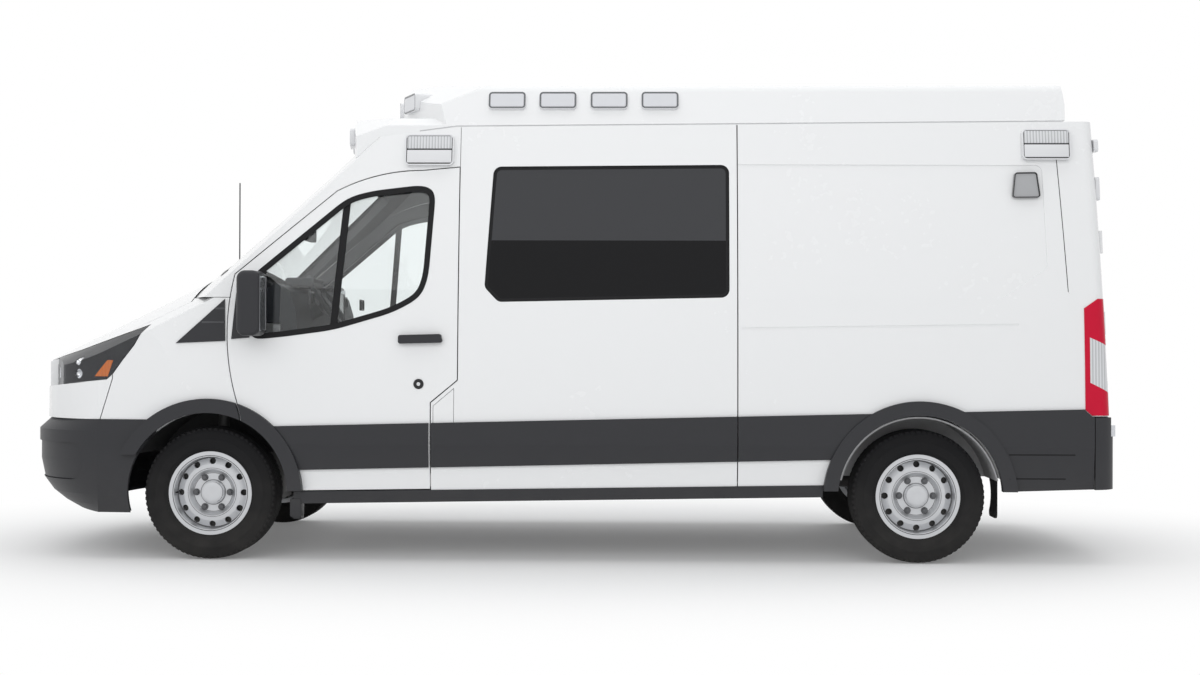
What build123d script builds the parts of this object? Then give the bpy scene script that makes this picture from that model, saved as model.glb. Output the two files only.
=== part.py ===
"""Raised-roof wheelchair accessible ambulance van, in millimetres.

+X forward, +Y left, +Z up. The origin is on the ground, midway between the axles.
"""
import os
from math import atan2, cos, degrees, pi, radians, sin, sqrt, tan

from build123d import *

# Overall sizes
LENGTH = 5980.0
OVERHANG = 1115.0
HALF_WIDTH = 1030.0
WHEEL_INSIDE = 160.0
HALF_LENGTH = LENGTH / 2
AXLE_X = HALF_LENGTH - OVERHANG
WHEEL_Y = HALF_WIDTH - WHEEL_INSIDE
REACH = HALF_LENGTH + 210.0
OUTSIDE = HALF_WIDTH + 300.0

# Clearances
SEAM = 6.0
FIT = 0.3
GLASS_FIT = 0.5

# Side wall: a large arc above the waist, tucked in below it
WAIST_Z = 620.0
SIDE_RADIUS = 10000.0
SILL_Z = 290.0
SILL_TUCK = 34.0
WALL_TOP_Z = 2420.0
WALL = 70.0
DOOR_WALL = 95.0
DOOR_STOP = 22.0
FENDER_WALL = 40.0
FRAME_WALL = 60.0

# Lines along the side, each as height at LINE_FRONT_X and at LINE_BACK_X
LINE_FRONT_X = AXLE_X - 475.0
LINE_BACK_X = -AXLE_X - 825.0
SILL_BOTTOM = (303.0, 373.0)
SILL_TOP = (367.0, 436.0)
BAND_BOTTOM = (482.0, 579.0)
BAND_TOP = (716.0, 817.0)
GUTTER = (2305.0, 2340.0)
GUTTER_BREAK_X = AXLE_X - 1300.0
BROW_FOOT = (AXLE_X - 690.0, 2232.0)

# Wheels and arches
TYRE_RADIUS = 352.0
TYRE_WIDTH = 235.0
RIM_RADIUS = 222.0
RIM_HALF = 95.0
DISC_OUT = 52.0
HUB_FACE = DISC_OUT - 34.0
AXLE_Z = TYRE_RADIUS
ARCH_RADIUS = 430.0
FLARE_RADIUS = 505.0
FLARE_PROUD = 24.0
BAND_PROUD = 14.0
HOUSE_RADIUS = 440.0
HOUSE_WALL = 8.0
REAR_HOUSE_RADIUS = 414.0

# Seams down the body side
DOOR_BACK_X = AXLE_X - 1320.0
DOOR_NOTCH_X = AXLE_X - 1178.0
MID_BACK_X = 952.0 - AXLE_X
FASCIA_SEAM = ((AXLE_X + 520.0, 960.0), (AXLE_X + 587.0, 745.0))
COWL_Z = 1392.0

# Bonnet and windscreen: crest point, slope and crown radius
BONNET_CREST = (AXLE_X + 1005.0, 1112.0)
BONNET_SLOPE = 26.0
BONNET_CROWN = 2600.0
BONNET_HALF = HALF_WIDTH - 168.0
BONNET_BACK_X = AXLE_X + 133.0
BONNET_WALL = 32.0
NOSE_ASIDE = 0.3
SCREEN_CREST = (AXLE_X - 275.0, 1893.0)
SCREEN_SLOPE = 41.5
SCREEN_CROWN = 3000.0
SCREEN_LAP = 8.0
GLASS_IN = 6.0
GLASS = 6.0

# Raised roof
CAP_WALL = 40.0
CAP_FOOT_Y = HALF_WIDTH - 158.0
CAP_FOOT_Z = 2322.0
CAP_SHOULDER_RADIUS = 60.0
CAP_SHOULDER = (CAP_FOOT_Y - 69.0, 2543.0)
CAP_CROWN_Z = 2618.0
CAP_FRONT_X = AXLE_X - 890.0
CAP_FRONT_CROWN = 1250.0
CAP_BACK_X = -AXLE_X - 797.0
CAP_FACET = (AXLE_X - 1455.0, CAP_SHOULDER[0], 2545.0)
CAP_FACET_FALL = (0.356, 0.487)
GUTTER_GROOVE = 9.0
GUTTER_GROOVE_X = AXLE_X - 1102.0
BROW_FRONT_X = AXLE_X - 653.0
BROW_BACK_X = AXLE_X - 1575.0
BROW_FRONT_CROWN = 3700.0
BROW_SHOULDER = (CAP_FOOT_Y - 80.0, 2372.0)
BROW_CROWN_Z = 2404.0

# Rear end
REAR_X = -AXLE_X - 995.0
REAR_SILL_Z = 750.0
REAR_LEAN = 2.2
REAR_DOOR = 70.0
REAR_FRAME = 110.0
REAR_HEAD_Z = 2236.0
REAR_EDGE_LOW = HALF_WIDTH - 152.0
REAR_EDGE_HIGH = HALF_WIDTH - 268.0
REAR_HINGE_BACK = 15.0
REAR_HINGE_OUT = 8.0
CORNER_ROUND = 58.0

# Floors
FLOOR_TOP = 722.0
CAB_FLOOR_TOP = 640.0
FLOOR_THICK = 40.0
FLOOR_HALF = HALF_WIDTH - 72.6
RAIL_LOW = 500.0
RAIL_OUT = HALF_WIDTH - 552.0
RAIL_IN = RAIL_OUT - 78.0


def line_z(line, x):
    """Height of a named side line at a place along the length."""
    share = (LINE_FRONT_X - x) / (LINE_FRONT_X - LINE_BACK_X)
    return line[0] + share * (line[1] - line[0])


def side_point(z, depth):
    """Point of the left body side at a height, at a depth under the outer skin."""
    if z < WAIST_Z:
        return (HALF_WIDTH - depth - SILL_TUCK * (WAIST_Z - z) / (WAIST_Z - SILL_Z), z)
    reach = sqrt((SIDE_RADIUS - depth) ** 2 - (z - WAIST_Z) ** 2)
    return (HALF_WIDTH - SIDE_RADIUS + reach, z)


def rear_x(z):
    """Place of the leaning rear face at a height."""
    return REAR_X + (z - REAR_SILL_Z) * tan(radians(REAR_LEAN))


def wall_layer(outer, inner, back=-HALF_LENGTH, front=HALF_LENGTH):
    """Left body side between two depths under its skin, over a stretch of the length."""
    middle = (WAIST_Z + WALL_TOP_Z) / 2
    with BuildPart() as layer:
        with BuildSketch(Plane.YZ.offset(back)):
            with BuildLine():
                for depth in (outer, inner):
                    waist = side_point(WAIST_Z, depth)
                    ThreePointArc(waist, side_point(middle, depth), side_point(WALL_TOP_Z, depth))
                    Line(waist, side_point(SILL_Z, depth))
                Line(side_point(WALL_TOP_Z, outer), side_point(WALL_TOP_Z, inner))
                Line(side_point(SILL_Z, outer), side_point(SILL_Z, inner))
            make_face()
        extrude(amount=front - back)
    return layer.part


def section_solid(inset, back, front):
    """The whole body section at an inset, over a stretch of the length."""
    middle = (WAIST_Z + WALL_TOP_Z) / 2
    with BuildPart() as solid:
        with BuildSketch(Plane.YZ.offset(back)):
            with BuildLine():
                waist = side_point(WAIST_Z, inset)
                top = side_point(WALL_TOP_Z, inset)
                foot = side_point(SILL_Z, inset)
                ThreePointArc(waist, side_point(middle, inset), top)
                Line(waist, foot)
                Line(foot, (0, SILL_Z))
                Line((0, SILL_Z), (0, WALL_TOP_Z))
                Line((0, WALL_TOP_Z), top)
            make_face()
            mirror(about=Plane.YZ)
        extrude(amount=front - back)
    return solid.part


def side_prism(points, near, far, grow=0.0, corner=0.0):
    """Solid whose side view is a closed outline, from one y to another."""
    with BuildPart() as prism:
        with BuildSketch(Plane.XZ.offset(-near)) as outline:
            with BuildLine():
                Polyline(*points, close=True)
            make_face()
            if corner:
                fillet(outline.vertices(), corner)
            if grow:
                offset(amount=grow, kind=Kind.INTERSECTION)
        extrude(amount=near - far)
    return prism.part


def drum(x, radius, near, far, z=AXLE_Z):
    """Cylinder across the body about an axle line."""
    with BuildPart() as cylinder:
        with BuildSketch(Plane.XZ.offset(-near)):
            with Locations((x, z)):
                Circle(radius)
        extrude(amount=near - far)
    return cylinder.part


def block(x_back, x_front, y_low, y_high, z_low, z_high):
    """Plain box between six planes."""
    with BuildPart() as box:
        with BuildSketch(Plane.XY.offset(z_low)):
            with Locations(((x_back + x_front) / 2, (y_low + y_high) / 2)):
                Rectangle(x_front - x_back, y_high - y_low)
        extrude(amount=z_high - z_low)
    return box.part


def crowned_prism(crest, slope, crown, inset):
    """Everything under a cylinder lying along a slope, crest on the centre plane."""
    along = (-cos(radians(slope)), 0, sin(radians(slope)))
    frame = Plane(origin=(crest[0], 0, crest[1]), x_dir=(0, -1, 0), z_dir=along)
    edge = HALF_WIDTH + 120
    drop = sqrt((crown - inset) ** 2 - edge**2) - crown
    with BuildPart() as prism:
        with BuildSketch(frame):
            with BuildLine():
                ThreePointArc((-edge, drop), (0, -inset), (edge, drop))
                Polyline((edge, drop), (edge, -REACH), (-edge, -REACH), (-edge, drop))
            make_face()
        extrude(amount=REACH, both=True)
    return prism.part


def nose_face(ahead, aside):
    """Plan of the nose, grown ahead of the body's own plan and to its sides."""
    nose = (AXLE_X + 1070.0 + ahead, 0)
    turn_y = HALF_WIDTH - 420.0
    turn = (AXLE_X + 993.0 + ahead, turn_y + 0.3 * ahead)
    corner = (AXLE_X + 860.0 + 0.8 * ahead, HALF_WIDTH - 188.0 + 0.5 * ahead)
    flank = (AXLE_X + 595.0, HALF_WIDTH - 40.0 + aside)
    side = HALF_WIDTH + SEAM + aside
    back_x = AXLE_X - 375.0
    with BuildSketch() as plan:
        with BuildLine():
            ThreePointArc(nose, (AXLE_X + 1051.0 + ahead, turn_y / 2), turn)
            ThreePointArc(turn, corner, flank)
            Polyline(flank, (AXLE_X + 5.0, side), (back_x, side), (back_x, 0), nose)
        make_face()
        mirror(about=Plane.XZ)
    return plan.sketch


def nose_plan(ahead, z_low, z_high):
    """Solid on the nose's plan between two heights."""
    with BuildPart() as plan:
        with BuildSketch(Plane.XY.offset(z_low)):
            add(nose_face(ahead, min(ahead, NOSE_ASIDE * ahead)))
        extrude(amount=z_high - z_low)
    return plan.part


def front_body(inset, top_inset):
    """Bonnet, fenders and fascia as one full form at an inset."""
    profile = [
        (AXLE_X - 375.0, 250.0),
        (AXLE_X + 1087.0 - inset, 250.0),
        (AXLE_X + 1087.0 - inset, 720.0),
        (AXLE_X + 1065.0 - inset, 960.0),
        (AXLE_X + 1001.0 - inset, 1092.0),
        (AXLE_X + 1001.0 - inset, 1700.0),
        (AXLE_X - 375.0, 1700.0),
    ]
    with BuildPart() as body:
        add(section_solid(inset, AXLE_X - 315.0, HALF_LENGTH))
        add(nose_plan(-inset, 250.0, 1700.0), mode=Mode.INTERSECT)
        add(crowned_prism(BONNET_CREST, BONNET_SLOPE, BONNET_CROWN, top_inset), mode=Mode.INTERSECT)
        add(side_prism(profile, -HALF_WIDTH, HALF_WIDTH), mode=Mode.INTERSECT)
    return body.part


def door_prism(near, far, grow=0.0):
    """Front door outline: curved front seam, raked front pillar, notch behind, wheel arch."""
    foot_z = line_z(SILL_TOP, AXLE_X - ARCH_RADIUS) + SEAM
    foot_x = AXLE_X - sqrt(ARCH_RADIUS**2 - (foot_z - AXLE_Z) ** 2)
    arch_x = AXLE_X - 185.0
    arch_z = AXLE_Z + sqrt(ARCH_RADIUS**2 - (arch_x - AXLE_X) ** 2)
    bow_x = AXLE_X - ARCH_RADIUS * cos(radians(32))
    bow_z = AXLE_Z + ARCH_RADIUS * sin(radians(32))
    with BuildPart() as prism:
        with BuildSketch(Plane.XZ.offset(-near)):
            with BuildLine():
                ThreePointArc((foot_x, foot_z), (bow_x, bow_z), (arch_x, arch_z))
                Line((arch_x, arch_z), (AXLE_X - 175.0, 790.0))
                ThreePointArc((AXLE_X - 175.0, 790.0), (AXLE_X - 102.0, 1245.0), (AXLE_X - 137.0, 1516.0))
                Line((AXLE_X - 137.0, 1516.0), (AXLE_X - 185.0, 1556.0))
                Line((AXLE_X - 185.0, 1556.0), (AXLE_X - 670.0, 1961.0))
                ThreePointArc((AXLE_X - 670.0, 1961.0), (AXLE_X - 865.0, 2038.0), (AXLE_X - 1125.0, 2072.0))
                Polyline(
                    (AXLE_X - 1125.0, 2072.0),
                    (DOOR_BACK_X, 2090.0),
                    (DOOR_BACK_X, 960.0),
                    (DOOR_NOTCH_X, 842.0),
                    (DOOR_NOTCH_X, line_z(SILL_TOP, DOOR_NOTCH_X) + SEAM),
                    (foot_x, foot_z),
                )
            make_face()
            if grow:
                offset(amount=grow, kind=Kind.INTERSECTION)
        extrude(amount=near - far)
    return prism.part


def piece_of(base, keep=(), cut=()):
    """What of a form lies inside every keep and outside every cut."""
    with BuildPart() as piece:
        add(base)
        for form in keep:
            add(form, mode=Mode.INTERSECT)
        for form in cut:
            add(form, mode=Mode.SUBTRACT)
    return piece.part


def mirrored(form):
    """The same form on the other side of the body."""
    with BuildPart() as piece:
        add(form)
        mirror(about=Plane.XZ, mode=Mode.REPLACE)
    return piece.part


def roof_lobe(shoulder, crown_z, front_x, front_crown, back_x, inset):
    """One raised stretch of roof, its front bowed in plan."""
    low_z = 2150.0 - inset
    foot = CAP_FOOT_Y - inset
    top = (shoulder[0] - inset, shoulder[1] - inset)
    side = CAP_FOOT_Y + SEAM
    bow_x = front_x - front_crown + sqrt((front_crown - inset) ** 2 - side**2)
    with BuildPart() as lobe:
        with BuildSketch(Plane.YZ.offset(back_x)) as section:
            with BuildLine():
                Polyline((-top[0], top[1]), (-foot, CAP_FOOT_Z), (-foot, low_z))
                Polyline((-foot, low_z), (foot, low_z), (foot, CAP_FOOT_Z), top)
                ThreePointArc(top, (0, crown_z - inset), (-top[0], top[1]))
            make_face()
            fillet(section.vertices().sort_by(Axis.Y)[-2:], CAP_SHOULDER_RADIUS)
        extrude(amount=front_x - back_x)
        with BuildSketch(Plane.XY.offset(low_z)):
            with BuildLine():
                ThreePointArc((bow_x, -side), (front_x - inset, 0), (bow_x, side))
                Polyline((bow_x, side), (back_x, side), (back_x, -side), (bow_x, -side))
            make_face()
        extrude(amount=600.0, mode=Mode.INTERSECT)
    return lobe.part


def roof_form(inset):
    """Brow over the cab and the raised cap behind it, as one form at an inset."""
    slope = [
        (CAP_BACK_X + 30.0 + inset, 2000.0),
        (CAP_BACK_X + inset, 2440.0),
        (CAP_BACK_X + 14.0 + inset, 2572.0),
        (CAP_BACK_X + 80.0 + inset, 2640.0),
        ((CAP_FRONT_X + CAP_BACK_X) / 2, 2700.0),
        (CAP_FRONT_X - 105.0 - inset, 2590.0 - inset),
        (CAP_FRONT_X - inset, 2405.0 - inset),
        (BROW_FRONT_X - 27.0 - inset, 2388.0 - inset),
        (BROW_FRONT_X - inset, 2345.0 - inset),
        (BROW_FRONT_X - inset, 2000.0),
    ]
    with BuildPart() as roof:
        add(roof_lobe(CAP_SHOULDER, CAP_CROWN_Z, CAP_FRONT_X, CAP_FRONT_CROWN, CAP_BACK_X + inset, inset))
        add(roof_lobe(BROW_SHOULDER, BROW_CROWN_Z, BROW_FRONT_X, BROW_FRONT_CROWN, BROW_BACK_X, inset))
        add(side_prism(slope, -HALF_WIDTH, HALF_WIDTH), mode=Mode.INTERSECT)
        for side in (1, -1):
            facet = Plane(
                origin=(CAP_FACET[0], side * CAP_FACET[1], CAP_FACET[2]),
                x_dir=(1, 0, -CAP_FACET_FALL[0]),
                z_dir=(CAP_FACET_FALL[0], side * CAP_FACET_FALL[1], 1.0),
            )
            with BuildSketch(facet.offset(-inset)):
                Rectangle(REACH, REACH)
            extrude(amount=HALF_WIDTH, mode=Mode.SUBTRACT)
    return roof.part


def write(builder, label):
    """Name a finished piece and write its STEP file."""
    builder.part.label = label
    export_step(builder.part, f"parts/{label}.step")


os.makedirs("parts", exist_ok=True)

REAR_PLANE = Plane(
    origin=(REAR_X, 0, REAR_SILL_Z),
    x_dir=(0, 1, 0),
    z_dir=(cos(radians(REAR_LEAN)), 0, -sin(radians(REAR_LEAN))),
)

GUTTER_BREAK_Z = line_z(GUTTER, GUTTER_BREAK_X)
BROW_FALL = (GUTTER_BREAK_Z - BROW_FOOT[1]) / (BROW_FOOT[0] - GUTTER_BREAK_X)
GUTTER_LINE = [
    (HALF_LENGTH, GUTTER_BREAK_Z - BROW_FALL * (HALF_LENGTH - GUTTER_BREAK_X)),
    (GUTTER_BREAK_X, GUTTER_BREAK_Z),
    (-HALF_LENGTH, line_z(GUTTER, -HALF_LENGTH)),
]
BELOW_GUTTER = GUTTER_LINE + [(-HALF_LENGTH, 0.0), (HALF_LENGTH, 0.0)]

HEADLAMP = [
    (AXLE_X + 550.0, 953.0),
    (HALF_LENGTH, 898.0),
    (HALF_LENGTH, 1022.0),
    (AXLE_X + 778.0, 1108.0),
    (AXLE_X + 337.0, 1246.0),
    (AXLE_X + 400.0, 1139.0),
    (AXLE_X + 464.0, 1058.0),
    (AXLE_X + 523.0, 977.0),
]
HEADLAMP_INNER_Y = HALF_WIDTH - 470.0
HEADLAMP_PLAN = [
    (AXLE_X + 125.0, HEADLAMP_INNER_Y),
    (AXLE_X + 961.0, HEADLAMP_INNER_Y),
    (AXLE_X + 815.0, HALF_WIDTH - 140.0),
    (AXLE_X + 815.0, OUTSIDE),
    (AXLE_X + 125.0, OUTSIDE),
]
BONNET_BLOCK = [
    (BONNET_BACK_X, 1250.0),
    (AXLE_X + 337.0, 1250.0),
    (AXLE_X + 778.0, 1112.0),
    (HALF_LENGTH, 1026.0),
    (HALF_LENGTH, 1700.0),
    (BONNET_BACK_X, 1700.0),
]
TAIL_LAMP = [
    (-AXLE_X - 856.0, 1346.0),
    (-AXLE_X - 928.0, 1396.0),
    (-AXLE_X - 1085.0, 1396.0),
    (-AXLE_X - 1085.0, 786.0),
    (-AXLE_X - 891.0, 786.0),
    (-AXLE_X - 858.0, 815.0),
]
SIDE_WINDOW = [
    (AXLE_X - 1503.0, 2096.0),
    (AXLE_X - 1461.0, 1450.0),
    (AXLE_X - 1535.0, 1372.0),
    (995.0 - AXLE_X, 1398.0),
    (995.0 - AXLE_X, 2106.0),
]
DOOR_GLASS_ROUND = 50.0
DOOR_GLASS = [
    (AXLE_X - 220.0, 1500.0),
    (AXLE_X - 725.0, 1922.0),
    (AXLE_X - 855.0, 1958.0),
    (AXLE_X - 1123.0, 1990.0),
    (AXLE_X - 1189.0, 1950.0),
    (AXLE_X - 1157.0, 1500.0),
    (AXLE_X - 1115.0, 1396.0),
    (AXLE_X - 975.0, 1318.0),
    (AXLE_X - 663.0, 1226.0),
    (AXLE_X - 385.0, 1188.0),
    (AXLE_X - 220.0, 1174.0),
]
ARCH_CUT_FRONT = drum(AXLE_X, ARCH_RADIUS, -HALF_WIDTH - 200, HALF_WIDTH + 200)
ARCH_CUT_REAR = drum(-AXLE_X, ARCH_RADIUS, -HALF_WIDTH - 200, HALF_WIDTH + 200)

# Front shell: bonnet, fenders, fascia and headlamps are cut from it
FRONT_FORM = front_body(0.0, 0.0)
SCREEN_CUT = piece_of(
    crowned_prism(SCREEN_CREST, SCREEN_SLOPE, SCREEN_CROWN, -SCREEN_LAP),
    [block(AXLE_X - 375.0, AXLE_X + 225.0, -OUTSIDE, OUTSIDE, COWL_Z, 1800.0)],
)
BONNET_REAR_CUT = piece_of(
    crowned_prism(SCREEN_CREST, SCREEN_SLOPE, SCREEN_CROWN, -SCREEN_LAP),
    [block(AXLE_X - 375.0, AXLE_X + 225.0, -OUTSIDE, OUTSIDE, 1200.0, 1800.0)],
)
with BuildPart() as front_shell:
    add(FRONT_FORM)
    add(front_body(FENDER_WALL, BONNET_WALL), mode=Mode.SUBTRACT)
    add(SCREEN_CUT, mode=Mode.SUBTRACT)

with BuildPart() as bonnet:
    add(front_shell.part)
    add(side_prism(BONNET_BLOCK, -BONNET_HALF, BONNET_HALF), mode=Mode.INTERSECT)
    add(BONNET_REAR_CUT, mode=Mode.SUBTRACT)
write(bonnet, "bonnet")

with BuildPart() as headlamp_form:
    add(FRONT_FORM)
    add(front_body(90.0, 70.0), mode=Mode.SUBTRACT)

with BuildPart() as headlamps:
    add(headlamp_form.part)
    add(side_prism(HEADLAMP, HEADLAMP_INNER_Y, OUTSIDE), mode=Mode.INTERSECT)
    with BuildSketch(Plane.XY):
        with BuildLine():
            Polyline(*HEADLAMP_PLAN, close=True)
        make_face()
    extrude(amount=REACH, mode=Mode.INTERSECT)
    mirror(about=Plane.XZ)
write(headlamps, "headlamps")

GRILLE_HALF = HALF_WIDTH - 560.0
GRILLE_LOW = 800.0
GRILLE_HIGH = 1010.0
FASCIA_LOW = 745.0
FASCIA_BLOCK = [
    FASCIA_SEAM[0],
    FASCIA_SEAM[1],
    (HALF_LENGTH, FASCIA_LOW),
    (HALF_LENGTH, 1200.0),
    (AXLE_X + 505.0, 1200.0),
]
SLAM_HALF = HALF_WIDTH - 500.0
SLAM_HOLLOW = front_body(FENDER_WALL + 30.0, BONNET_WALL + 14.0)
SLAM_SHELF = piece_of(
    front_body(FENDER_WALL + FIT, BONNET_WALL + FIT),
    [block(AXLE_X + 825.0, HALF_LENGTH, -SLAM_HALF, SLAM_HALF, 1014.0, 1300.0)],
    [SLAM_HOLLOW],
)
SLAM_FOOT = piece_of(
    front_body(FENDER_WALL - 4.0, BONNET_WALL + FIT),
    [block(AXLE_X + 825.0, HALF_LENGTH, -SLAM_HALF, SLAM_HALF, 1014.0, 1032.0)],
    [SLAM_HOLLOW],
)
with BuildPart() as front_fascia:
    add(front_shell.part)
    add(side_prism(FASCIA_BLOCK, -OUTSIDE, OUTSIDE), mode=Mode.INTERSECT)
    add(side_prism(BONNET_BLOCK, -OUTSIDE, OUTSIDE, SEAM), mode=Mode.SUBTRACT)
    for near, far in ((HEADLAMP_INNER_Y - FIT, OUTSIDE), (-OUTSIDE, FIT - HEADLAMP_INNER_Y)):
        add(side_prism(HEADLAMP, near, far, FIT), mode=Mode.SUBTRACT)
    add(block(AXLE_X + 725.0, REACH, -GRILLE_HALF, GRILLE_HALF, GRILLE_LOW, GRILLE_HIGH), mode=Mode.SUBTRACT)
    add(SLAM_SHELF)
    add(SLAM_FOOT)
write(front_fascia, "front_fascia")

GRILLE_SLATS = 5
GRILLE_SLAT = 20.0
with BuildPart() as grille_form:
    add(front_body(8.0, 8.0))
    add(front_body(34.0, 34.0), mode=Mode.SUBTRACT)

with BuildPart() as grille:
    with BuildSketch(Plane.YZ.offset(AXLE_X + 725.0)):
        with Locations((0, (GRILLE_LOW + GRILLE_HIGH) / 2)):
            Rectangle(2 * (GRILLE_HALF - FIT), GRILLE_HIGH - GRILLE_LOW - 2 * FIT)
            Rectangle(2 * GRILLE_HALF - 44.0, GRILLE_HIGH - GRILLE_LOW - 44.0, mode=Mode.SUBTRACT)
            with GridLocations(0, (GRILLE_HIGH - GRILLE_LOW) / (GRILLE_SLATS + 1), 1, GRILLE_SLATS):
                Rectangle(2 * GRILLE_HALF - 30.0, GRILLE_SLAT)
    extrude(amount=400.0)
    add(grille_form.part, mode=Mode.INTERSECT)
write(grille, "grille")

# Fenders: the rest of the front shell back to the door seam
FENDER_BLOCK = [
    (FASCIA_SEAM[0][0] - SEAM, 1200.0),
    (FASCIA_SEAM[0][0] - SEAM, FASCIA_SEAM[0][1]),
    (FASCIA_SEAM[1][0] - SEAM, FASCIA_SEAM[1][1]),
    (AXLE_X + 315.0, FASCIA_LOW),
    (AXLE_X + 225.0, 600.0),
    (AXLE_X - 275.0, 560.0),
    (AXLE_X - 275.0, COWL_Z),
    (AXLE_X + 325.0, COWL_Z),
]
with BuildPart() as front_fenders:
    add(front_shell.part)
    add(side_prism(FENDER_BLOCK, 0.0, OUTSIDE), mode=Mode.INTERSECT)
    add(side_prism(BONNET_BLOCK, -OUTSIDE, BONNET_HALF + SEAM, SEAM), mode=Mode.SUBTRACT)
    add(side_prism(HEADLAMP, 0.0, OUTSIDE, 3.0), mode=Mode.SUBTRACT)
    add(door_prism(0.0, OUTSIDE, SEAM), mode=Mode.SUBTRACT)
    add(ARCH_CUT_FRONT, mode=Mode.SUBTRACT)
    add(block(AXLE_X - 375.0, REACH, 0.0, HALF_WIDTH - 180.0, 0.0, 1245.0), mode=Mode.SUBTRACT)
    add(wall_layer(FENDER_WALL, 500.0, AXLE_X - 375.0, AXLE_X - 13.0), mode=Mode.SUBTRACT)
    mirror(about=Plane.XZ)
write(front_fenders, "front_fenders")

# Front bumper: a band round the nose with an upswept lower edge
BUMPER_AHEAD = 45.0
BUMPER_WALL = 95.0
BUMPER_BACK_X = AXLE_X + 325.0
BUMPER_TOP = FASCIA_LOW - FIT
BUMPER_SECTIONS = (
    # height, how far inside the widest plan
    (250.0, 190.0),
    (290.0, 130.0),
    (345.0, 70.0),
    (425.0, 18.0),
    (520.0, 0.0),
    (684.0, 0.0),
    (BUMPER_TOP, 62.0),
)
POCKET = [(AXLE_X + 685.0, 420.0), (REACH, 420.0), (REACH, 618.0), (AXLE_X + 685.0, 618.0)]
POCKET_DEEP = 9.0
INTAKE_HALF = HALF_WIDTH - 610.0
POCKET_IN = HALF_WIDTH - 590.0


def bumper_form(inset):
    """Nose band that draws in above and below its widest plan, at an inset."""
    with BuildPart() as band:
        for height, inside in BUMPER_SECTIONS:
            with BuildSketch(Plane.XY.offset(height)):
                add(nose_face(BUMPER_AHEAD - inside - inset, NOSE_ASIDE * BUMPER_AHEAD - inset - 0.12 * inside))
        loft(ruled=True)
    return band.part


with BuildPart() as front_bumper:
    add(bumper_form(0.0))
    add(bumper_form(BUMPER_WALL), mode=Mode.SUBTRACT)
    add(block(BUMPER_BACK_X, REACH, -OUTSIDE, OUTSIDE, 0.0, REACH), mode=Mode.INTERSECT)
    pocket = piece_of(
        bumper_form(-SEAM), [side_prism(POCKET, POCKET_IN, OUTSIDE, 0.0, 70.0)], [bumper_form(POCKET_DEEP)])
    add(pocket, mode=Mode.SUBTRACT)
    add(mirrored(pocket), mode=Mode.SUBTRACT)
    add(ARCH_CUT_FRONT, mode=Mode.SUBTRACT)
    inside = HALF_WIDTH - FENDER_WALL
    add(drum(AXLE_X, HOUSE_RADIUS + HOUSE_WALL + SEAM, -inside, inside), mode=Mode.SUBTRACT)
    add(block(AXLE_X + 825.0, REACH, -INTAKE_HALF, INTAKE_HALF, 400.0, 540.0), mode=Mode.SUBTRACT)
write(front_bumper, "front_bumper")

# Cab frame: front pillars, header, roof rails, cowl strip and hinge pillars
CAB_FRONT_X = AXLE_X + 205.0
with BuildPart() as cab_form:
    add(section_solid(0.0, DOOR_BACK_X - 3.0, CAB_FRONT_X))
    add(crowned_prism(SCREEN_CREST, SCREEN_SLOPE, SCREEN_CROWN, 0.0), mode=Mode.INTERSECT)

with BuildPart() as cab_hollow:
    add(section_solid(FRAME_WALL, DOOR_BACK_X - 50.0, CAB_FRONT_X))
    add(crowned_prism(SCREEN_CREST, SCREEN_SLOPE, SCREEN_CROWN, FRAME_WALL), mode=Mode.INTERSECT)

SCREEN_FRAME = Plane(
    origin=(SCREEN_CREST[0], 0, SCREEN_CREST[1]),
    x_dir=(0, 1, 0),
    z_dir=(sin(radians(SCREEN_SLOPE)), 0, cos(radians(SCREEN_SLOPE))),
)
SCREEN_LOW = -455.0
SCREEN_HIGH = 425.0
SCREEN_HALF_LOW = HALF_WIDTH - 180.0
SCREEN_HALF_HIGH = HALF_WIDTH - 290.0


def screen_prism(shrink):
    """Windscreen outline, square to the glass."""
    with BuildPart() as prism:
        with BuildSketch(SCREEN_FRAME.offset(-400.0)) as outline:
            with BuildLine():
                Polyline(
                    (-SCREEN_HALF_LOW, SCREEN_LOW),
                    (SCREEN_HALF_LOW, SCREEN_LOW),
                    (SCREEN_HALF_HIGH, SCREEN_HIGH),
                    (-SCREEN_HALF_HIGH, SCREEN_HIGH),
                    close=True,
                )
            make_face()
            fillet(outline.vertices(), 60.0)
            if shrink:
                offset(amount=-shrink)
        extrude(amount=800.0)
    return prism.part


HINGE_POST = piece_of(
    wall_layer(FENDER_WALL + FIT, DOOR_WALL + DOOR_STOP, AXLE_X - 93.0, AXLE_X - 19.0),
    [block(AXLE_X - 175.0, AXLE_X + 25.0, 0.0, OUTSIDE, 806.0, COWL_Z + 24.0)],
)
DOOR_FLANGE = piece_of(
    wall_layer(DOOR_WALL + FIT, DOOR_WALL + DOOR_STOP, AXLE_X - 185.0, AXLE_X - 85.0),
    [block(AXLE_X - 275.0, AXLE_X + 25.0, 0.0, OUTSIDE, 860.0, COWL_Z + 24.0)],
)
with BuildPart() as cab_frame:
    add(cab_form.part)
    add(cab_hollow.part, mode=Mode.SUBTRACT)
    add(side_prism(BELOW_GUTTER, -OUTSIDE, OUTSIDE), mode=Mode.INTERSECT)
    add(block(-HALF_LENGTH, CAB_FRONT_X, -OUTSIDE, OUTSIDE, 0.0, COWL_Z + 3.0), mode=Mode.SUBTRACT)
    for near in (-OUTSIDE, 0.0):
        add(door_prism(near, near + OUTSIDE, SEAM), mode=Mode.SUBTRACT)
    add(screen_prism(0.0), mode=Mode.SUBTRACT)
    for post in (HINGE_POST, DOOR_FLANGE, mirrored(HINGE_POST), mirrored(DOOR_FLANGE)):
        add(post)
write(cab_frame, "cab_frame")

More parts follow.
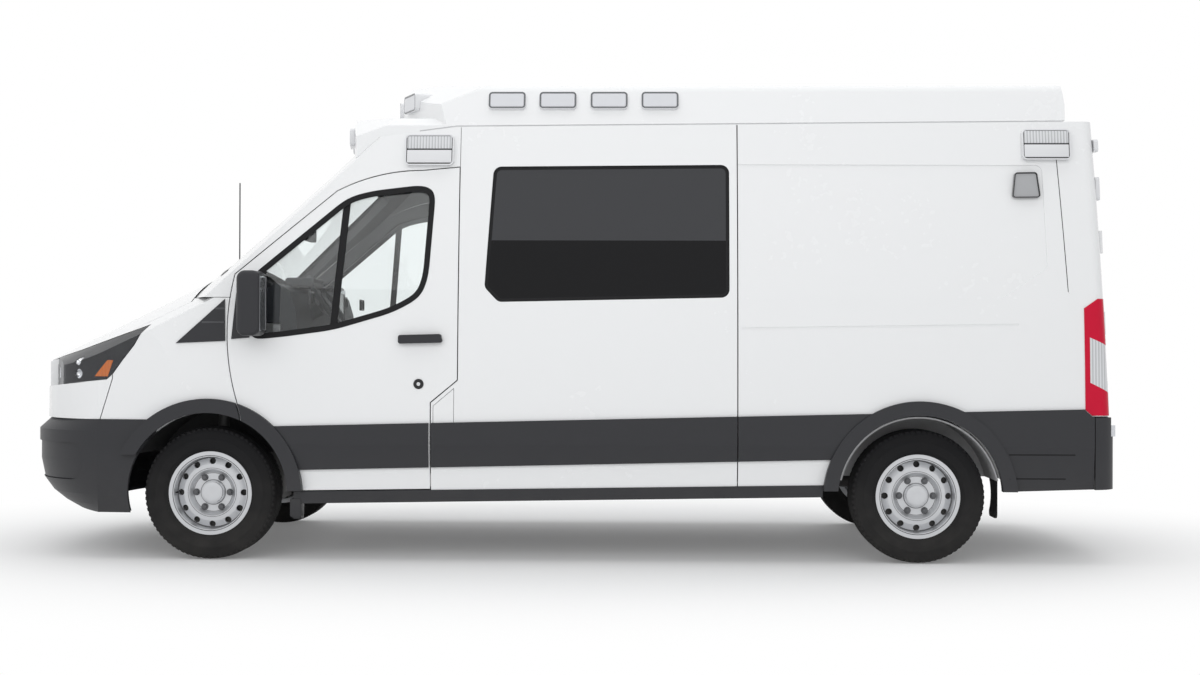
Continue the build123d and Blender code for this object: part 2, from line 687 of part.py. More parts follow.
with BuildPart() as windscreen:
    add(crowned_prism(SCREEN_CREST, SCREEN_SLOPE, SCREEN_CROWN, GLASS_IN))
    add(crowned_prism(SCREEN_CREST, SCREEN_SLOPE, SCREEN_CROWN, GLASS_IN + GLASS), mode=Mode.SUBTRACT)
    add(screen_prism(GLASS_FIT), mode=Mode.INTERSECT)
write(windscreen, "windscreen")

# Raised roof: its brow follows the cab roof down, and a groove runs along its foot
BELOW_CAB_ROOF = piece_of(
    crowned_prism(SCREEN_CREST, SCREEN_SLOPE, SCREEN_CROWN, -FIT),
    [side_prism(BELOW_GUTTER, -OUTSIDE, OUTSIDE), block(GUTTER_BREAK_X, HALF_LENGTH, -OUTSIDE, OUTSIDE, 0.0, REACH)],
)
BELOW_BODY_ROOF = piece_of(
    side_prism(BELOW_GUTTER, -OUTSIDE, OUTSIDE),
    [block(-HALF_LENGTH, GUTTER_BREAK_X, -OUTSIDE, OUTSIDE, 0.0, REACH)],
)
GROOVE = piece_of(
    side_prism(GUTTER_LINE + [(x, z + GUTTER_GROOVE) for x, z in reversed(GUTTER_LINE)], -OUTSIDE, OUTSIDE),
    [block(-HALF_LENGTH, GUTTER_GROOVE_X, -OUTSIDE, OUTSIDE, 0.0, REACH)],
    [roof_form(GUTTER_GROOVE)],
)
with BuildPart() as roof_cap:
    add(roof_form(0.0))
    add(roof_form(CAP_WALL), mode=Mode.SUBTRACT)
    for form in (BELOW_CAB_ROOF, BELOW_BODY_ROOF, GROOVE):
        add(form, mode=Mode.SUBTRACT)
write(roof_cap, "roof_cap")

# Body sides behind the doors
MID_BLOCK = [
    (DOOR_BACK_X - SEAM, WALL_TOP_Z),
    (MID_BACK_X + SEAM / 2, WALL_TOP_Z),
    (MID_BACK_X + SEAM / 2, line_z(SILL_TOP, MID_BACK_X + SEAM / 2) + FIT),
    (DOOR_NOTCH_X - SEAM, line_z(SILL_TOP, DOOR_NOTCH_X - SEAM) + FIT),
    (DOOR_NOTCH_X - SEAM, 839.0),
    (DOOR_BACK_X - SEAM, 957.0),
]
FLAP = [(AXLE_X - 1197.0, 650.0), (AXLE_X - 1197.0, 822.0), (AXLE_X - 1303.0, 912.0), (AXLE_X - 1303.0, 650.0)]
with BuildPart() as mid_wall:
    add(wall_layer(0.0, WALL))
    add(side_prism(MID_BLOCK, 0.0, OUTSIDE), mode=Mode.INTERSECT)
    add(side_prism(BELOW_GUTTER, 0.0, OUTSIDE), mode=Mode.INTERSECT)
    add(side_prism(SIDE_WINDOW, 0.0, OUTSIDE, 0.0, 45.0), mode=Mode.SUBTRACT)

FLAP_DEPTH = 16.0
with BuildPart() as left_mid_panel:
    add(mid_wall.part)
    add(piece_of(wall_layer(-10.0, FLAP_DEPTH + FIT), [side_prism(FLAP, 0.0, OUTSIDE, SEAM / 2)]), mode=Mode.SUBTRACT)
    add(piece_of(wall_layer(0.0, FLAP_DEPTH), [side_prism(FLAP, 0.0, OUTSIDE)]))
write(left_mid_panel, "left_mid_panel")

with BuildPart() as right_sliding_door:
    add(mirrored(mid_wall.part))
write(right_sliding_door, "right_sliding_door")

REAR_BLOCK = [
    (rear_x(SILL_Z), SILL_Z),
    (rear_x(WALL_TOP_Z), WALL_TOP_Z),
    (MID_BACK_X - SEAM / 2, WALL_TOP_Z),
    (MID_BACK_X - SEAM / 2, SILL_Z),
]
QUARTER_FOOT_Z = 452.0
BUMPER_CORNER_X = -AXLE_X - 909.0
BUMPER_CORNER_Z = 776.0
QUARTER_BLOCK = [
    (MID_BACK_X - SEAM / 2, WALL_TOP_Z),
    (rear_x(WALL_TOP_Z), WALL_TOP_Z),
    (rear_x(BUMPER_CORNER_Z), BUMPER_CORNER_Z + SEAM),
    (BUMPER_CORNER_X + SEAM, BUMPER_CORNER_Z + SEAM),
    (BUMPER_CORNER_X + SEAM, QUARTER_FOOT_Z),
    (-AXLE_X, QUARTER_FOOT_Z),
    (-AXLE_X, line_z(SILL_TOP, -AXLE_X) + FIT),
    (MID_BACK_X - SEAM / 2, line_z(SILL_TOP, MID_BACK_X - SEAM / 2) + FIT),
]
SWAGE_DEEP = 5.0
SWAGE_ROUND = 36.0
SWAGE = [
    (MID_BACK_X + 100.0, 2108.0),
    (-AXLE_X - 655.0, 2104.0),
    (-AXLE_X - 670.0, 1557.0),
    (-AXLE_X - 427.0, 1394.0),
    (MID_BACK_X + 100.0, 1383.0),
]
CREASE = [(931.0 - AXLE_X, 1228.0), (-AXLE_X - 511.0, 1252.0), (-AXLE_X - 517.0, 1264.0), (931.0 - AXLE_X, 1240.0)]
CORNER_SEAM = [
    (-AXLE_X - 731.0, 2140.0),
    (-AXLE_X - 774.0, 1433.5),
    (-AXLE_X - 858.0, 1352.0),
    (-AXLE_X - 858.0, 1345.0),
    (-AXLE_X - 778.5, 1430.0),
    (-AXLE_X - 735.5, 2140.0),
]


def rounded_corner(outer, inner):
    """Left body side between two depths, back to the rear face, its rear corner rounded."""
    with BuildPart() as corner:
        add(wall_layer(outer, inner))
        add(side_prism(REAR_BLOCK, 0.0, OUTSIDE), mode=Mode.INTERSECT)
        rear_edges = corner.faces().filter_by(REAR_PLANE).sort_by(Axis.X)[0].edges()
        fillet(rear_edges.filter_by(lambda edge: edge.length > WAIST_Z).sort_by(Axis.Y)[-1], CORNER_ROUND)
    return corner.part


with BuildPart() as quarter_panels:
    add(rounded_corner(0.0, WALL))
    add(side_prism(QUARTER_BLOCK, 0.0, OUTSIDE), mode=Mode.INTERSECT)
    add(side_prism(BELOW_GUTTER, 0.0, OUTSIDE), mode=Mode.INTERSECT)
    add(ARCH_CUT_REAR, mode=Mode.SUBTRACT)
    add(side_prism(TAIL_LAMP, 0.0, OUTSIDE, FIT), mode=Mode.SUBTRACT)
    swage = side_prism(SWAGE, 0.0, OUTSIDE, 0.0, SWAGE_ROUND)
    add(piece_of(wall_layer(-SEAM, SWAGE_DEEP), [swage]), mode=Mode.SUBTRACT)
    for line in (CREASE, CORNER_SEAM):
        add(piece_of(wall_layer(-SEAM, SWAGE_DEEP - 1.0), [side_prism(line, 0.0, OUTSIDE)]), mode=Mode.SUBTRACT)
    mirror(about=Plane.XZ)
write(quarter_panels, "quarter_panels")

with BuildPart() as tail_lamps:
    add(rounded_corner(-5.0, WALL - 10.0))
    add(side_prism(TAIL_LAMP, 0.0, OUTSIDE), mode=Mode.INTERSECT)
    mirror(about=Plane.XZ)
write(tail_lamps, "tail_lamps")

with BuildPart() as side_glass:
    add(wall_layer(8.0, 8.0 + GLASS))
    add(side_prism(SIDE_WINDOW, 0.0, OUTSIDE, -GLASS_FIT, 45.0), mode=Mode.INTERSECT)
    mirror(about=Plane.XZ)
write(side_glass, "side_glass")

# Rear frame, doors and their glass, all square to the leaning rear plane
REAR_RISE = (REAR_HEAD_Z - REAR_SILL_Z) / cos(radians(REAR_LEAN))
FRAME_RISE = (line_z(GUTTER, REAR_X) - REAR_SILL_Z) / cos(radians(REAR_LEAN))
REAR_EDGE_FALL = (REAR_EDGE_LOW - REAR_EDGE_HIGH) / REAR_RISE


def rear_outline(shrink, low, high):
    """Left half of the rear opening, shrunk toward its middle."""
    return [
        (shrink, low + shrink),
        (REAR_EDGE_LOW - REAR_EDGE_FALL * low - shrink, low + shrink),
        (REAR_EDGE_LOW - REAR_EDGE_FALL * high - shrink, high - shrink),
        (shrink, high - shrink),
    ]


REAR_HINGE_Y = REAR_EDGE_LOW + REAR_HINGE_OUT
HINGE_RISES = (150.0, 520.0, 950.0)
HINGE_HIGH = 40.0
BARREL = 11.0


def hinge_barrel(rise, reach_y):
    """Rear hinge barrel at a height up the rear plane, with its leaf toward reach_y or the frame."""
    with BuildPart() as barrel:
        with BuildSketch(Plane(REAR_PLANE.from_local_coords((REAR_HINGE_Y, rise - HINGE_HIGH / 2, -REAR_HINGE_BACK)),
                               x_dir=(0, 1, 0), z_dir=REAR_PLANE.y_dir)):
            Circle(BARREL)
        extrude(amount=HINGE_HIGH)
        if reach_y is None:
            with BuildSketch(REAR_PLANE.offset(4.0)):
                with Locations((REAR_HINGE_Y, rise)):
                    Rectangle(12.0, HINGE_HIGH)
            extrude(amount=-REAR_HINGE_BACK - 4.0)
        else:
            with BuildSketch(REAR_PLANE.offset(4.0 - REAR_HINGE_BACK)):
                with Locations(((REAR_HINGE_Y + reach_y) / 2, rise)):
                    Rectangle(REAR_HINGE_Y - reach_y, HINGE_HIGH)
            extrude(amount=-8.0)
            with BuildSketch(REAR_PLANE.offset(4.0)):
                with Locations((reach_y + 30.0, rise)):
                    Rectangle(60.0, HINGE_HIGH)
            extrude(amount=-REAR_HINGE_BACK)
    return barrel.part


HINGE_LUGS = [
    hinge_barrel(rise + step * (HINGE_HIGH + FIT), None) for rise in HINGE_RISES for step in (-1, 1)
]
HINGE_STRAPS = [
    hinge_barrel(rise, REAR_EDGE_LOW - REAR_EDGE_FALL * rise - 130.0) for rise in HINGE_RISES
]
with BuildPart() as rear_frame:
    add(section_solid(WALL + GLASS_FIT, REAR_X - 60.0, REAR_X + 400.0))
    with BuildSketch(REAR_PLANE):
        with Locations((0, FRAME_RISE / 2 - 45.0)):
            Rectangle(2 * HALF_WIDTH, FRAME_RISE + 90.0)
    extrude(amount=REAR_FRAME, mode=Mode.INTERSECT)
    with BuildSketch(REAR_PLANE.offset(-200.0)):
        with BuildLine():
            Polyline(*rear_outline(0.0, 0.0, REAR_RISE), close=True)
        make_face()
        mirror(about=Plane.YZ)
    extrude(amount=800.0, mode=Mode.SUBTRACT)
    add(side_prism(BELOW_GUTTER, -OUTSIDE, OUTSIDE), mode=Mode.INTERSECT)
    floor_low = FLOOR_TOP - FLOOR_THICK
    add(block(REAR_X - 100.0, REAR_X + 230.0, -OUTSIDE, OUTSIDE, 0.0, floor_low), mode=Mode.SUBTRACT)
    for lug in HINGE_LUGS:
        add(lug)
        add(mirrored(lug))
write(rear_frame, "rear_frame")

WINDOW_LOW = 690.0
WINDOW_HIGH = 1290.0
WINDOW_IN = 120.0
for label, about in (("left", 1), ("right", -1)):
    with BuildPart() as rear_door:
        with BuildSketch(REAR_PLANE):
            with BuildLine():
                Polyline(*rear_outline(SEAM, 0.0, REAR_RISE), close=True)
            make_face()
            with BuildLine():
                Polyline(*rear_outline(WINDOW_IN, WINDOW_LOW - WINDOW_IN, WINDOW_HIGH + WINDOW_IN), close=True)
            make_face(mode=Mode.SUBTRACT)
        extrude(amount=REAR_DOOR)
        for strap in HINGE_STRAPS:
            add(strap)
        if about < 0:
            mirror(about=Plane.XZ, mode=Mode.REPLACE)
    write(rear_door, f"{label}_rear_door")
    with BuildPart() as rear_glass:
        with BuildSketch(REAR_PLANE.offset(10.0)):
            with BuildLine():
                Polyline(*rear_outline(WINDOW_IN + GLASS_FIT, WINDOW_LOW - WINDOW_IN, WINDOW_HIGH + WINDOW_IN),
                         close=True)
            make_face()
        extrude(amount=GLASS)
        if about < 0:
            mirror(about=Plane.XZ, mode=Mode.REPLACE)
    write(rear_glass, f"{label}_rear_glass")

# Rear bumper: a step across the back with raised corners
STEP_LIP_Z = FLOOR_TOP - FLOOR_THICK - SEAM
REAR_BUMPER = [
    (BUMPER_CORNER_X, BUMPER_CORNER_Z),
    (REAR_X - 2.0, BUMPER_CORNER_Z),
    (REAR_X - 2.0, STEP_LIP_Z),
    (REAR_X - 20.0, STEP_LIP_Z),
    (REAR_X - 26.0, 640.0),
    (18.0 - HALF_LENGTH, 636.0),
    (-HALF_LENGTH, 612.0),
    (-HALF_LENGTH, 404.0),
    (BUMPER_CORNER_X, 398.0),
]
REAR_BUMPER_IN = HALF_WIDTH - 68.0
with BuildPart() as rear_bumper:
    with BuildSketch(Plane.XY.offset(350.0)):
        with BuildLine():
            flank = (REAR_X + 70.0, HALF_WIDTH + SEAM)
            corner = (REAR_X - 23.0, REAR_BUMPER_IN)
            Polyline((-HALF_LENGTH, 0.0), (-HALF_LENGTH, HALF_WIDTH - 470.0), corner)
            ThreePointArc(corner, (REAR_X + 4.0, HALF_WIDTH - 15.0), flank)
            Polyline(flank, (REAR_X + 270.0, flank[1]), (REAR_X + 270.0, 0.0), (-HALF_LENGTH, 0.0))
        make_face()
        mirror(about=Plane.XZ)
    extrude(amount=500.0)
    add(block(REAR_X - 2.0, REAR_X + 370.0, -REAR_BUMPER_IN, REAR_BUMPER_IN, 300.0, 900.0), mode=Mode.SUBTRACT)
    add(side_prism(REAR_BUMPER, -OUTSIDE, OUTSIDE), mode=Mode.INTERSECT)
write(rear_bumper, "rear_bumper")

# Front doors with their glass and trim
MIRROR_OUT = HALF_WIDTH + 207.0
MIRROR_IN = HALF_WIDTH + 32.0
with BuildPart() as door_wall:
    add(wall_layer(0.0, DOOR_WALL))
    add(door_prism(0.0, OUTSIDE), mode=Mode.INTERSECT)
    add(side_prism(DOOR_GLASS, 0.0, OUTSIDE, 0.0, DOOR_GLASS_ROUND), mode=Mode.SUBTRACT)
    add(drum(AXLE_X, HOUSE_RADIUS + HOUSE_WALL + 14.0, 0.0, HALF_WIDTH - FENDER_WALL), mode=Mode.SUBTRACT)

with BuildPart() as door_pane:
    add(wall_layer(14.0, 14.0 + GLASS))
    add(side_prism(DOOR_GLASS, 0.0, OUTSIDE, -GLASS_FIT, DOOR_GLASS_ROUND), mode=Mode.INTERSECT)

DOOR_BAND = [
    (AXLE_X - 170.0, line_z(BAND_BOTTOM, AXLE_X - 170.0)),
    (AXLE_X - 170.0, line_z(BAND_TOP, AXLE_X - 170.0)),
    (DOOR_NOTCH_X + SEAM, line_z(BAND_TOP, DOOR_NOTCH_X + SEAM)),
    (DOOR_NOTCH_X + SEAM, line_z(BAND_BOTTOM, DOOR_NOTCH_X + SEAM)),
]
HANDLE = [(AXLE_X - 1246.0, 1156.0), (AXLE_X - 1011.0, 1150.0), (AXLE_X - 1011.0, 1196.0), (AXLE_X - 1235.0, 1202.0)]
DOOR_FLARE = piece_of(
    drum(AXLE_X, FLARE_RADIUS, HALF_WIDTH - 130.0, HALF_WIDTH + FLARE_PROUD),
    [door_prism(0.0, OUTSIDE)],
    [ARCH_CUT_FRONT, wall_layer(-FIT, 400.0)],
)
MIRROR_FOOT = [(AXLE_X - 123.0, 1172.0), (AXLE_X - 219.0, 1180.0), (AXLE_X - 219.0, 1496.0), (AXLE_X - 147.0, 1436.0)]
with BuildPart() as mirror_head:
    with BuildSketch(Plane.XZ.offset(-MIRROR_IN)) as shape:
        with Locations((AXLE_X - 259.0, 1358.0)):
            Rectangle(124.0, 340.0)
        fillet(shape.vertices(), 44.0)
    extrude(amount=MIRROR_IN - MIRROR_OUT)
    fillet(mirror_head.faces().sort_by(Axis.Y)[-1].edges(), 30.0)
    with BuildSketch(Plane.XZ.offset(90.0 - HALF_WIDTH)):
        with Locations((AXLE_X - 215.0, 1246.0)):
            RectangleRounded(80.0, 64.0, 20.0)
    extrude(amount=-130.0)
    add(wall_layer(-FIT, 400.0), mode=Mode.SUBTRACT)
    add(piece_of(wall_layer(-8.0, -FIT), [side_prism(MIRROR_FOOT, 0.0, OUTSIDE)]))

with BuildPart() as door_trim:
    add(wall_layer(-BAND_PROUD, -FIT))
    add(side_prism(DOOR_BAND, 0.0, OUTSIDE), mode=Mode.INTERSECT)
    add(drum(AXLE_X, FLARE_RADIUS - 2.0, 0.0, OUTSIDE), mode=Mode.SUBTRACT)
    add(DOOR_FLARE)
    add(piece_of(wall_layer(-32.0, -FIT), [side_prism(HANDLE, 0.0, OUTSIDE, 0.0, 12.0)]))
    add(mirror_head.part)

for label, about in (("left", 1), ("right", -1)):
    for piece, name in ((door_wall, "door"), (door_pane, "door_glass"), (door_trim, "door_trim")):
        with BuildPart() as door_piece:
            add(piece.part)
            if about < 0:
                mirror(about=Plane.XZ, mode=Mode.REPLACE)
        write(door_piece, f"{label}_{name}")

# Dark mouldings on the fixed body: bands, flares, sill boards and cowl corners
BAND_SPANS = (
    (DOOR_NOTCH_X - SEAM, MID_BACK_X + SEAM / 2),
    (MID_BACK_X - SEAM / 2, -AXLE_X),
)
TAIL_PANEL = [
    (-AXLE_X, line_z(BAND_TOP, -AXLE_X)),
    (BUMPER_CORNER_X + SEAM, line_z(BAND_TOP, BUMPER_CORNER_X)),
    (BUMPER_CORNER_X + SEAM, 400.0),
    (-AXLE_X - 425.0, 384.0),
    (-AXLE_X, 384.0),
]
SILL_BOARD = [
    (AXLE_X - 455.0, line_z(SILL_BOTTOM, AXLE_X - 455.0)),
    (AXLE_X - 455.0, line_z(SILL_TOP, AXLE_X - 455.0)),
    (435.0 - AXLE_X, line_z(SILL_TOP, 435.0 - AXLE_X)),
    (435.0 - AXLE_X, line_z(SILL_BOTTOM, 435.0 - AXLE_X)),
]
COWL_CORNER = [(AXLE_X + 171.0, 1150.0), (AXLE_X - 85.0, 1384.0), (AXLE_X - 91.0, 1162.0)]
REAR_FLARE_CUT = drum(-AXLE_X, FLARE_RADIUS - 2.0, 0.0, OUTSIDE)
with BuildPart() as body_mouldings:
    for front, back in BAND_SPANS:
        band = [
            (front, line_z(BAND_BOTTOM, front)),
            (front, line_z(BAND_TOP, front)),
            (back, line_z(BAND_TOP, back)),
            (back, line_z(BAND_BOTTOM, back)),
        ]
        add(piece_of(wall_layer(-BAND_PROUD, -FIT), [side_prism(band, 0.0, OUTSIDE)], [REAR_FLARE_CUT]))
    add(piece_of(
        wall_layer(-BAND_PROUD, -FIT),
        [side_prism(TAIL_PANEL, 0.0, OUTSIDE)],
        [REAR_FLARE_CUT, side_prism(TAIL_LAMP, 0.0, OUTSIDE, 4.0)],
    ))
    add(piece_of(
        drum(-AXLE_X, FLARE_RADIUS, HALF_WIDTH - 130.0, HALF_WIDTH + FLARE_PROUD),
        [block(-REACH, 0.0, 0.0, OUTSIDE, 386.0, 1000.0)],
        [ARCH_CUT_REAR, wall_layer(-FIT, 400.0)],
    ))
    add(piece_of(
        drum(AXLE_X, FLARE_RADIUS, HALF_WIDTH - 90.0, HALF_WIDTH + FLARE_PROUD),
        [block(AXLE_X - 375.0, REACH, 0.0, OUTSIDE, 560.0, 1000.0)],
        [
            ARCH_CUT_FRONT,
            front_body(-FIT, -FIT),
            nose_plan(BUMPER_AHEAD + FIT, 0.0, BUMPER_TOP + 1.0),
            door_prism(0.0, OUTSIDE, SEAM + 2.0),
        ],
    ))
    add(piece_of(wall_layer(-8.0, 60.0), [side_prism(COWL_CORNER, 0.0, OUTSIDE)], [front_body(-FIT, -FIT)]))
    mirror(about=Plane.XZ)
write(body_mouldings, "body_mouldings")

with BuildPart() as sill_boards:
    add(wall_layer(-6.0, 210.0))
    add(side_prism(SILL_BOARD, 0.0, OUTSIDE), mode=Mode.INTERSECT)
    add(drum(AXLE_X, HOUSE_RADIUS + 14.0, 0.0, OUTSIDE), mode=Mode.SUBTRACT)
    add(drum(-AXLE_X, FLARE_RADIUS + FIT, 0.0, OUTSIDE), mode=Mode.SUBTRACT)
    mirror(about=Plane.XZ)
write(sill_boards, "sill_boards")

# Floors, with the toe board up to the dash, notched for the wheels
FIREWALL_X = AXLE_X - 315.0
DASH_HALF = HALF_WIDTH - 142.0
FLOOR_PROFILE = [
    (REAR_X + REAR_FRAME + 6.0, FLOOR_TOP),
    (AXLE_X - 1375.0, FLOOR_TOP),
    (AXLE_X - 1335.0, CAB_FLOOR_TOP),
    (AXLE_X - 545.0, CAB_FLOOR_TOP),
    (FIREWALL_X - 40.0, 820.0),
    (FIREWALL_X - 40.0, 1250.0),
    (FIREWALL_X, 1250.0),
    (FIREWALL_X, 800.0),
    (AXLE_X - 530.0, CAB_FLOOR_TOP - FLOOR_THICK),
    (AXLE_X - 1375.0, CAB_FLOOR_TOP - FLOOR_THICK),
    (AXLE_X - 1415.0, FLOOR_TOP - FLOOR_THICK),
    (REAR_X + REAR_FRAME + 6.0, FLOOR_TOP - FLOOR_THICK),
]
CAB_EDGE = [
    (DOOR_BACK_X - 20.0, 500.0),
    (AXLE_X - 75.0, 500.0),
    (AXLE_X - 75.0, 1400.0),
    (DOOR_BACK_X - 20.0, 1400.0),
]
REAR_HOUSE_Y = HALF_WIDTH - 340.0
FRONT_HOUSE_Y = RAIL_OUT + FIT
with BuildPart() as floor_pan:
    add(side_prism(FLOOR_PROFILE, -FLOOR_HALF, FLOOR_HALF))
    for side in (1, -1):
        near, far = sorted((side * (REAR_HOUSE_Y - FIT), side * OUTSIDE))
        add(drum(-AXLE_X, REAR_HOUSE_RADIUS + HOUSE_WALL + FIT, near, far), mode=Mode.SUBTRACT)
        near, far = sorted((side * (FRONT_HOUSE_Y - FIT), side * OUTSIDE))
        add(drum(AXLE_X, HOUSE_RADIUS + HOUSE_WALL + FIT, near, far), mode=Mode.SUBTRACT)
        near, far = sorted((side * DASH_HALF, side * OUTSIDE))
        add(side_prism(CAB_EDGE, near, far), mode=Mode.SUBTRACT)
write(floor_pan, "floor_pan")

# Wheel houses: front liners open inboard for the struts, rear boxes closed, with mud flaps
with BuildPart() as wheel_houses:
    for x, radius, inner_y, outer_y, floor_z in (
        (AXLE_X, HOUSE_RADIUS, FRONT_HOUSE_Y, HALF_WIDTH - 94.0, 560.0),
        (-AXLE_X, REAR_HOUSE_RADIUS, REAR_HOUSE_Y, HALF_WIDTH - 30.0, 440.0),
    ):
        add(piece_of(
            drum(x, radius + HOUSE_WALL, inner_y, outer_y),
            [block(x - 600.0, x + 600.0, 0.0, OUTSIDE, floor_z, 1000.0)],
            [drum(x, radius, inner_y + HOUSE_WALL, OUTSIDE)],
        ))
    mirror(about=Plane.XZ)
write(wheel_houses, "wheel_houses")

# Mud flaps hung behind the rear wheels
FLAP_TOP_Z = 470.0
FLAP_BOTTOM_Z = 236.0
FLAP_X = -AXLE_X - sqrt((REAR_HOUSE_RADIUS + HOUSE_WALL) ** 2 - (440.0 - AXLE_Z) ** 2)
with BuildPart() as mud_flaps:
    add(block(FLAP_X - 10.0, FLAP_X - FIT, HALF_WIDTH - 258.0, HALF_WIDTH - 94.0, FLAP_BOTTOM_Z, FLAP_TOP_Z))
    add(drum(-AXLE_X, REAR_HOUSE_RADIUS + HOUSE_WALL + FIT, REAR_HOUSE_Y, OUTSIDE), mode=Mode.SUBTRACT)
    fillet(mud_flaps.edges().filter_by(Axis.X).group_by(Axis.Z)[0], 24.0)
    mirror(about=Plane.XZ)
write(mud_flaps, "mud_flaps")

# Chassis rails with a rise over the rear axle
RAIL_OUTLINE = [
    (REAR_X - 2.0 + FIT, 560.0),
    (REAR_X - 2.0 + FIT, FLOOR_TOP - FLOOR_THICK),
    (AXLE_X - 1423.0, FLOOR_TOP - FLOOR_THICK),
    (AXLE_X - 1383.0, CAB_FLOOR_TOP - FLOOR_THICK),
    (AXLE_X - 530.0, CAB_FLOOR_TOP - FLOOR_THICK),
    (AXLE_X - 315.0, 680.0),
    (HALF_LENGTH, 680.0),
    (HALF_LENGTH, 540.0),
    (AXLE_X - 315.0, 540.0),
    (AXLE_X - 545.0, RAIL_LOW),
    (725.0 - AXLE_X, RAIL_LOW),
    (475.0 - AXLE_X, 560.0),
]
RAIL_HORN = piece_of(
    block(AXLE_X - 76.0, HALF_LENGTH, RAIL_IN, RAIL_OUT, 540.0, 680.0),
    [nose_plan(BUMPER_AHEAD - BUMPER_WALL - FIT, 500.0, 700.0)],
)
with BuildPart() as chassis_rails:
    add(side_prism(RAIL_OUTLINE, RAIL_IN, RAIL_OUT))
    add(block(AXLE_X - 75.0, HALF_LENGTH, 0.0, OUTSIDE, 0.0, 1000.0), mode=Mode.SUBTRACT)
    add(RAIL_HORN)
    mirror(about=Plane.XZ)
write(chassis_rails, "chassis_rails")

# Front subframe with lower arms out to the ball joints
KING_FOOT = (WHEEL_Y - 55.0, 205.0)
ARM_TOP = 216.0
ARM_THICK = 18.0
KING_HEAD = (WHEEL_Y - 215.0, 950.0)
KING_LEAN = degrees(atan2(KING_FOOT[0] - KING_HEAD[0], KING_HEAD[1] - KING_FOOT[1]))
BALL_RADIUS = 30.0
BALL_SEAT = 26.0


def king_plane(side, rise):
    """Plane square to the steering axis on one side, a distance up it from the ball joint."""
    axis = (0, -side * sin(radians(KING_LEAN)), cos(radians(KING_LEAN)))
    return Plane(origin=(AXLE_X, side * KING_FOOT[0], KING_FOOT[1]), x_dir=(1, 0, 0), z_dir=axis).offset(rise)


with BuildPart() as front_subframe:
    add(block(AXLE_X - 135.0, AXLE_X + 135.0, -RAIL_IN - 30.0, RAIL_IN + 30.0, 215.0, 290.0))
    for side in (1, -1):
        near, far = sorted((side * RAIL_IN, side * RAIL_OUT))
        add(block(AXLE_X - 115.0, AXLE_X + 115.0, near, far, 215.0, 540.0))
        with BuildSketch(Plane.XY.offset(ARM_TOP - ARM_THICK)):
            with BuildLine():
                Polyline(
                    (AXLE_X - 115.0, side * (RAIL_IN + 20.0)), (AXLE_X + 115.0, side * (RAIL_IN + 20.0)),
                    (AXLE_X + 38.0, side * KING_FOOT[0]), (AXLE_X - 38.0, side * KING_FOOT[0]), close=True)
            make_face()
        extrude(amount=ARM_THICK)
        with BuildSketch(king_plane(side, BALL_SEAT)):
            Circle(BALL_RADIUS)
        extrude(amount=-BALL_SEAT - 12.0)
write(front_subframe, "front_subframe")

# Engine as one plain mass on the subframe
ENGINE_BACK_X = AXLE_X - 235.0
ENGINE_HALF = RAIL_IN - 110.0
with BuildPart() as engine_block:
    add(block(ENGINE_BACK_X, AXLE_X + 425.0, -ENGINE_HALF, ENGINE_HALF, 290.0, 960.0))
    fillet(engine_block.edges().filter_by(Axis.Z), 60.0)
write(engine_block, "engine_block")

# Rear axle with differential and propeller shaft
SHAFT_FRONT = (ENGINE_BACK_X - 2.0, 470.0)
with BuildPart() as rear_axle:
    with BuildSketch(Plane.XZ.offset(-(WHEEL_Y - 95.0))):
        with Locations((-AXLE_X, AXLE_Z)):
            Circle(58.0)
    extrude(amount=2 * (WHEEL_Y - 95.0))
    with BuildSketch(Plane.XZ.offset(-110.0)):
        with Locations((-AXLE_X, AXLE_Z)):
            Circle(150.0)
    extrude(amount=220.0)
    for side in (1, -1):
        near, far = sorted((side * (WHEEL_Y - 105.0), side * (WHEEL_Y + HUB_FACE - FIT)))
        add(drum(-AXLE_X, 80.0, near, far))
    shaft_run = SHAFT_FRONT[0] + AXLE_X
    shaft_rise = SHAFT_FRONT[1] - AXLE_Z
    with BuildSketch(Plane(origin=(-AXLE_X, 0, AXLE_Z), x_dir=(0, 1, 0), z_dir=(shaft_run, 0, shaft_rise))):
        Circle(42.0)
    extrude(amount=sqrt(shaft_run**2 + shaft_rise**2))
write(rear_axle, "rear_axle")

# Leaf springs on the axle, hung from the floor by their hangers
LEAF_IN = RAIL_OUT + 82.0
LEAF_OUT = LEAF_IN + 76.0
LEAF_SPAN = 660.0
LEAF_FOOT = AXLE_Z + 58.0
with BuildPart() as leaf_springs:
    with BuildSketch(Plane.XZ.offset(-LEAF_IN)):
        with BuildLine():
            ThreePointArc((-AXLE_X - LEAF_SPAN, 532.0), (-AXLE_X, LEAF_FOOT + 10.0), (-AXLE_X + LEAF_SPAN, 532.0))
            Line((-AXLE_X + LEAF_SPAN, 532.0), (-AXLE_X + LEAF_SPAN, 550.0))
            ThreePointArc((-AXLE_X + LEAF_SPAN, 550.0), (-AXLE_X, LEAF_FOOT + 46.0), (-AXLE_X - LEAF_SPAN, 550.0))
            Line((-AXLE_X - LEAF_SPAN, 550.0), (-AXLE_X - LEAF_SPAN, 532.0))
        make_face()
    extrude(amount=LEAF_IN - LEAF_OUT)
    for offset_x in (-LEAF_SPAN, LEAF_SPAN):
        add(block(-AXLE_X + offset_x - 40.0, -AXLE_X + offset_x + 40.0, LEAF_IN, LEAF_OUT, 520.0,
                  FLOOR_TOP - FLOOR_THICK))
    add(block(-AXLE_X - 60.0, -AXLE_X + 60.0, LEAF_IN, LEAF_OUT, LEAF_FOOT, LEAF_FOOT + 40.0))
    mirror(about=Plane.XZ)
write(leaf_springs, "leaf_springs")

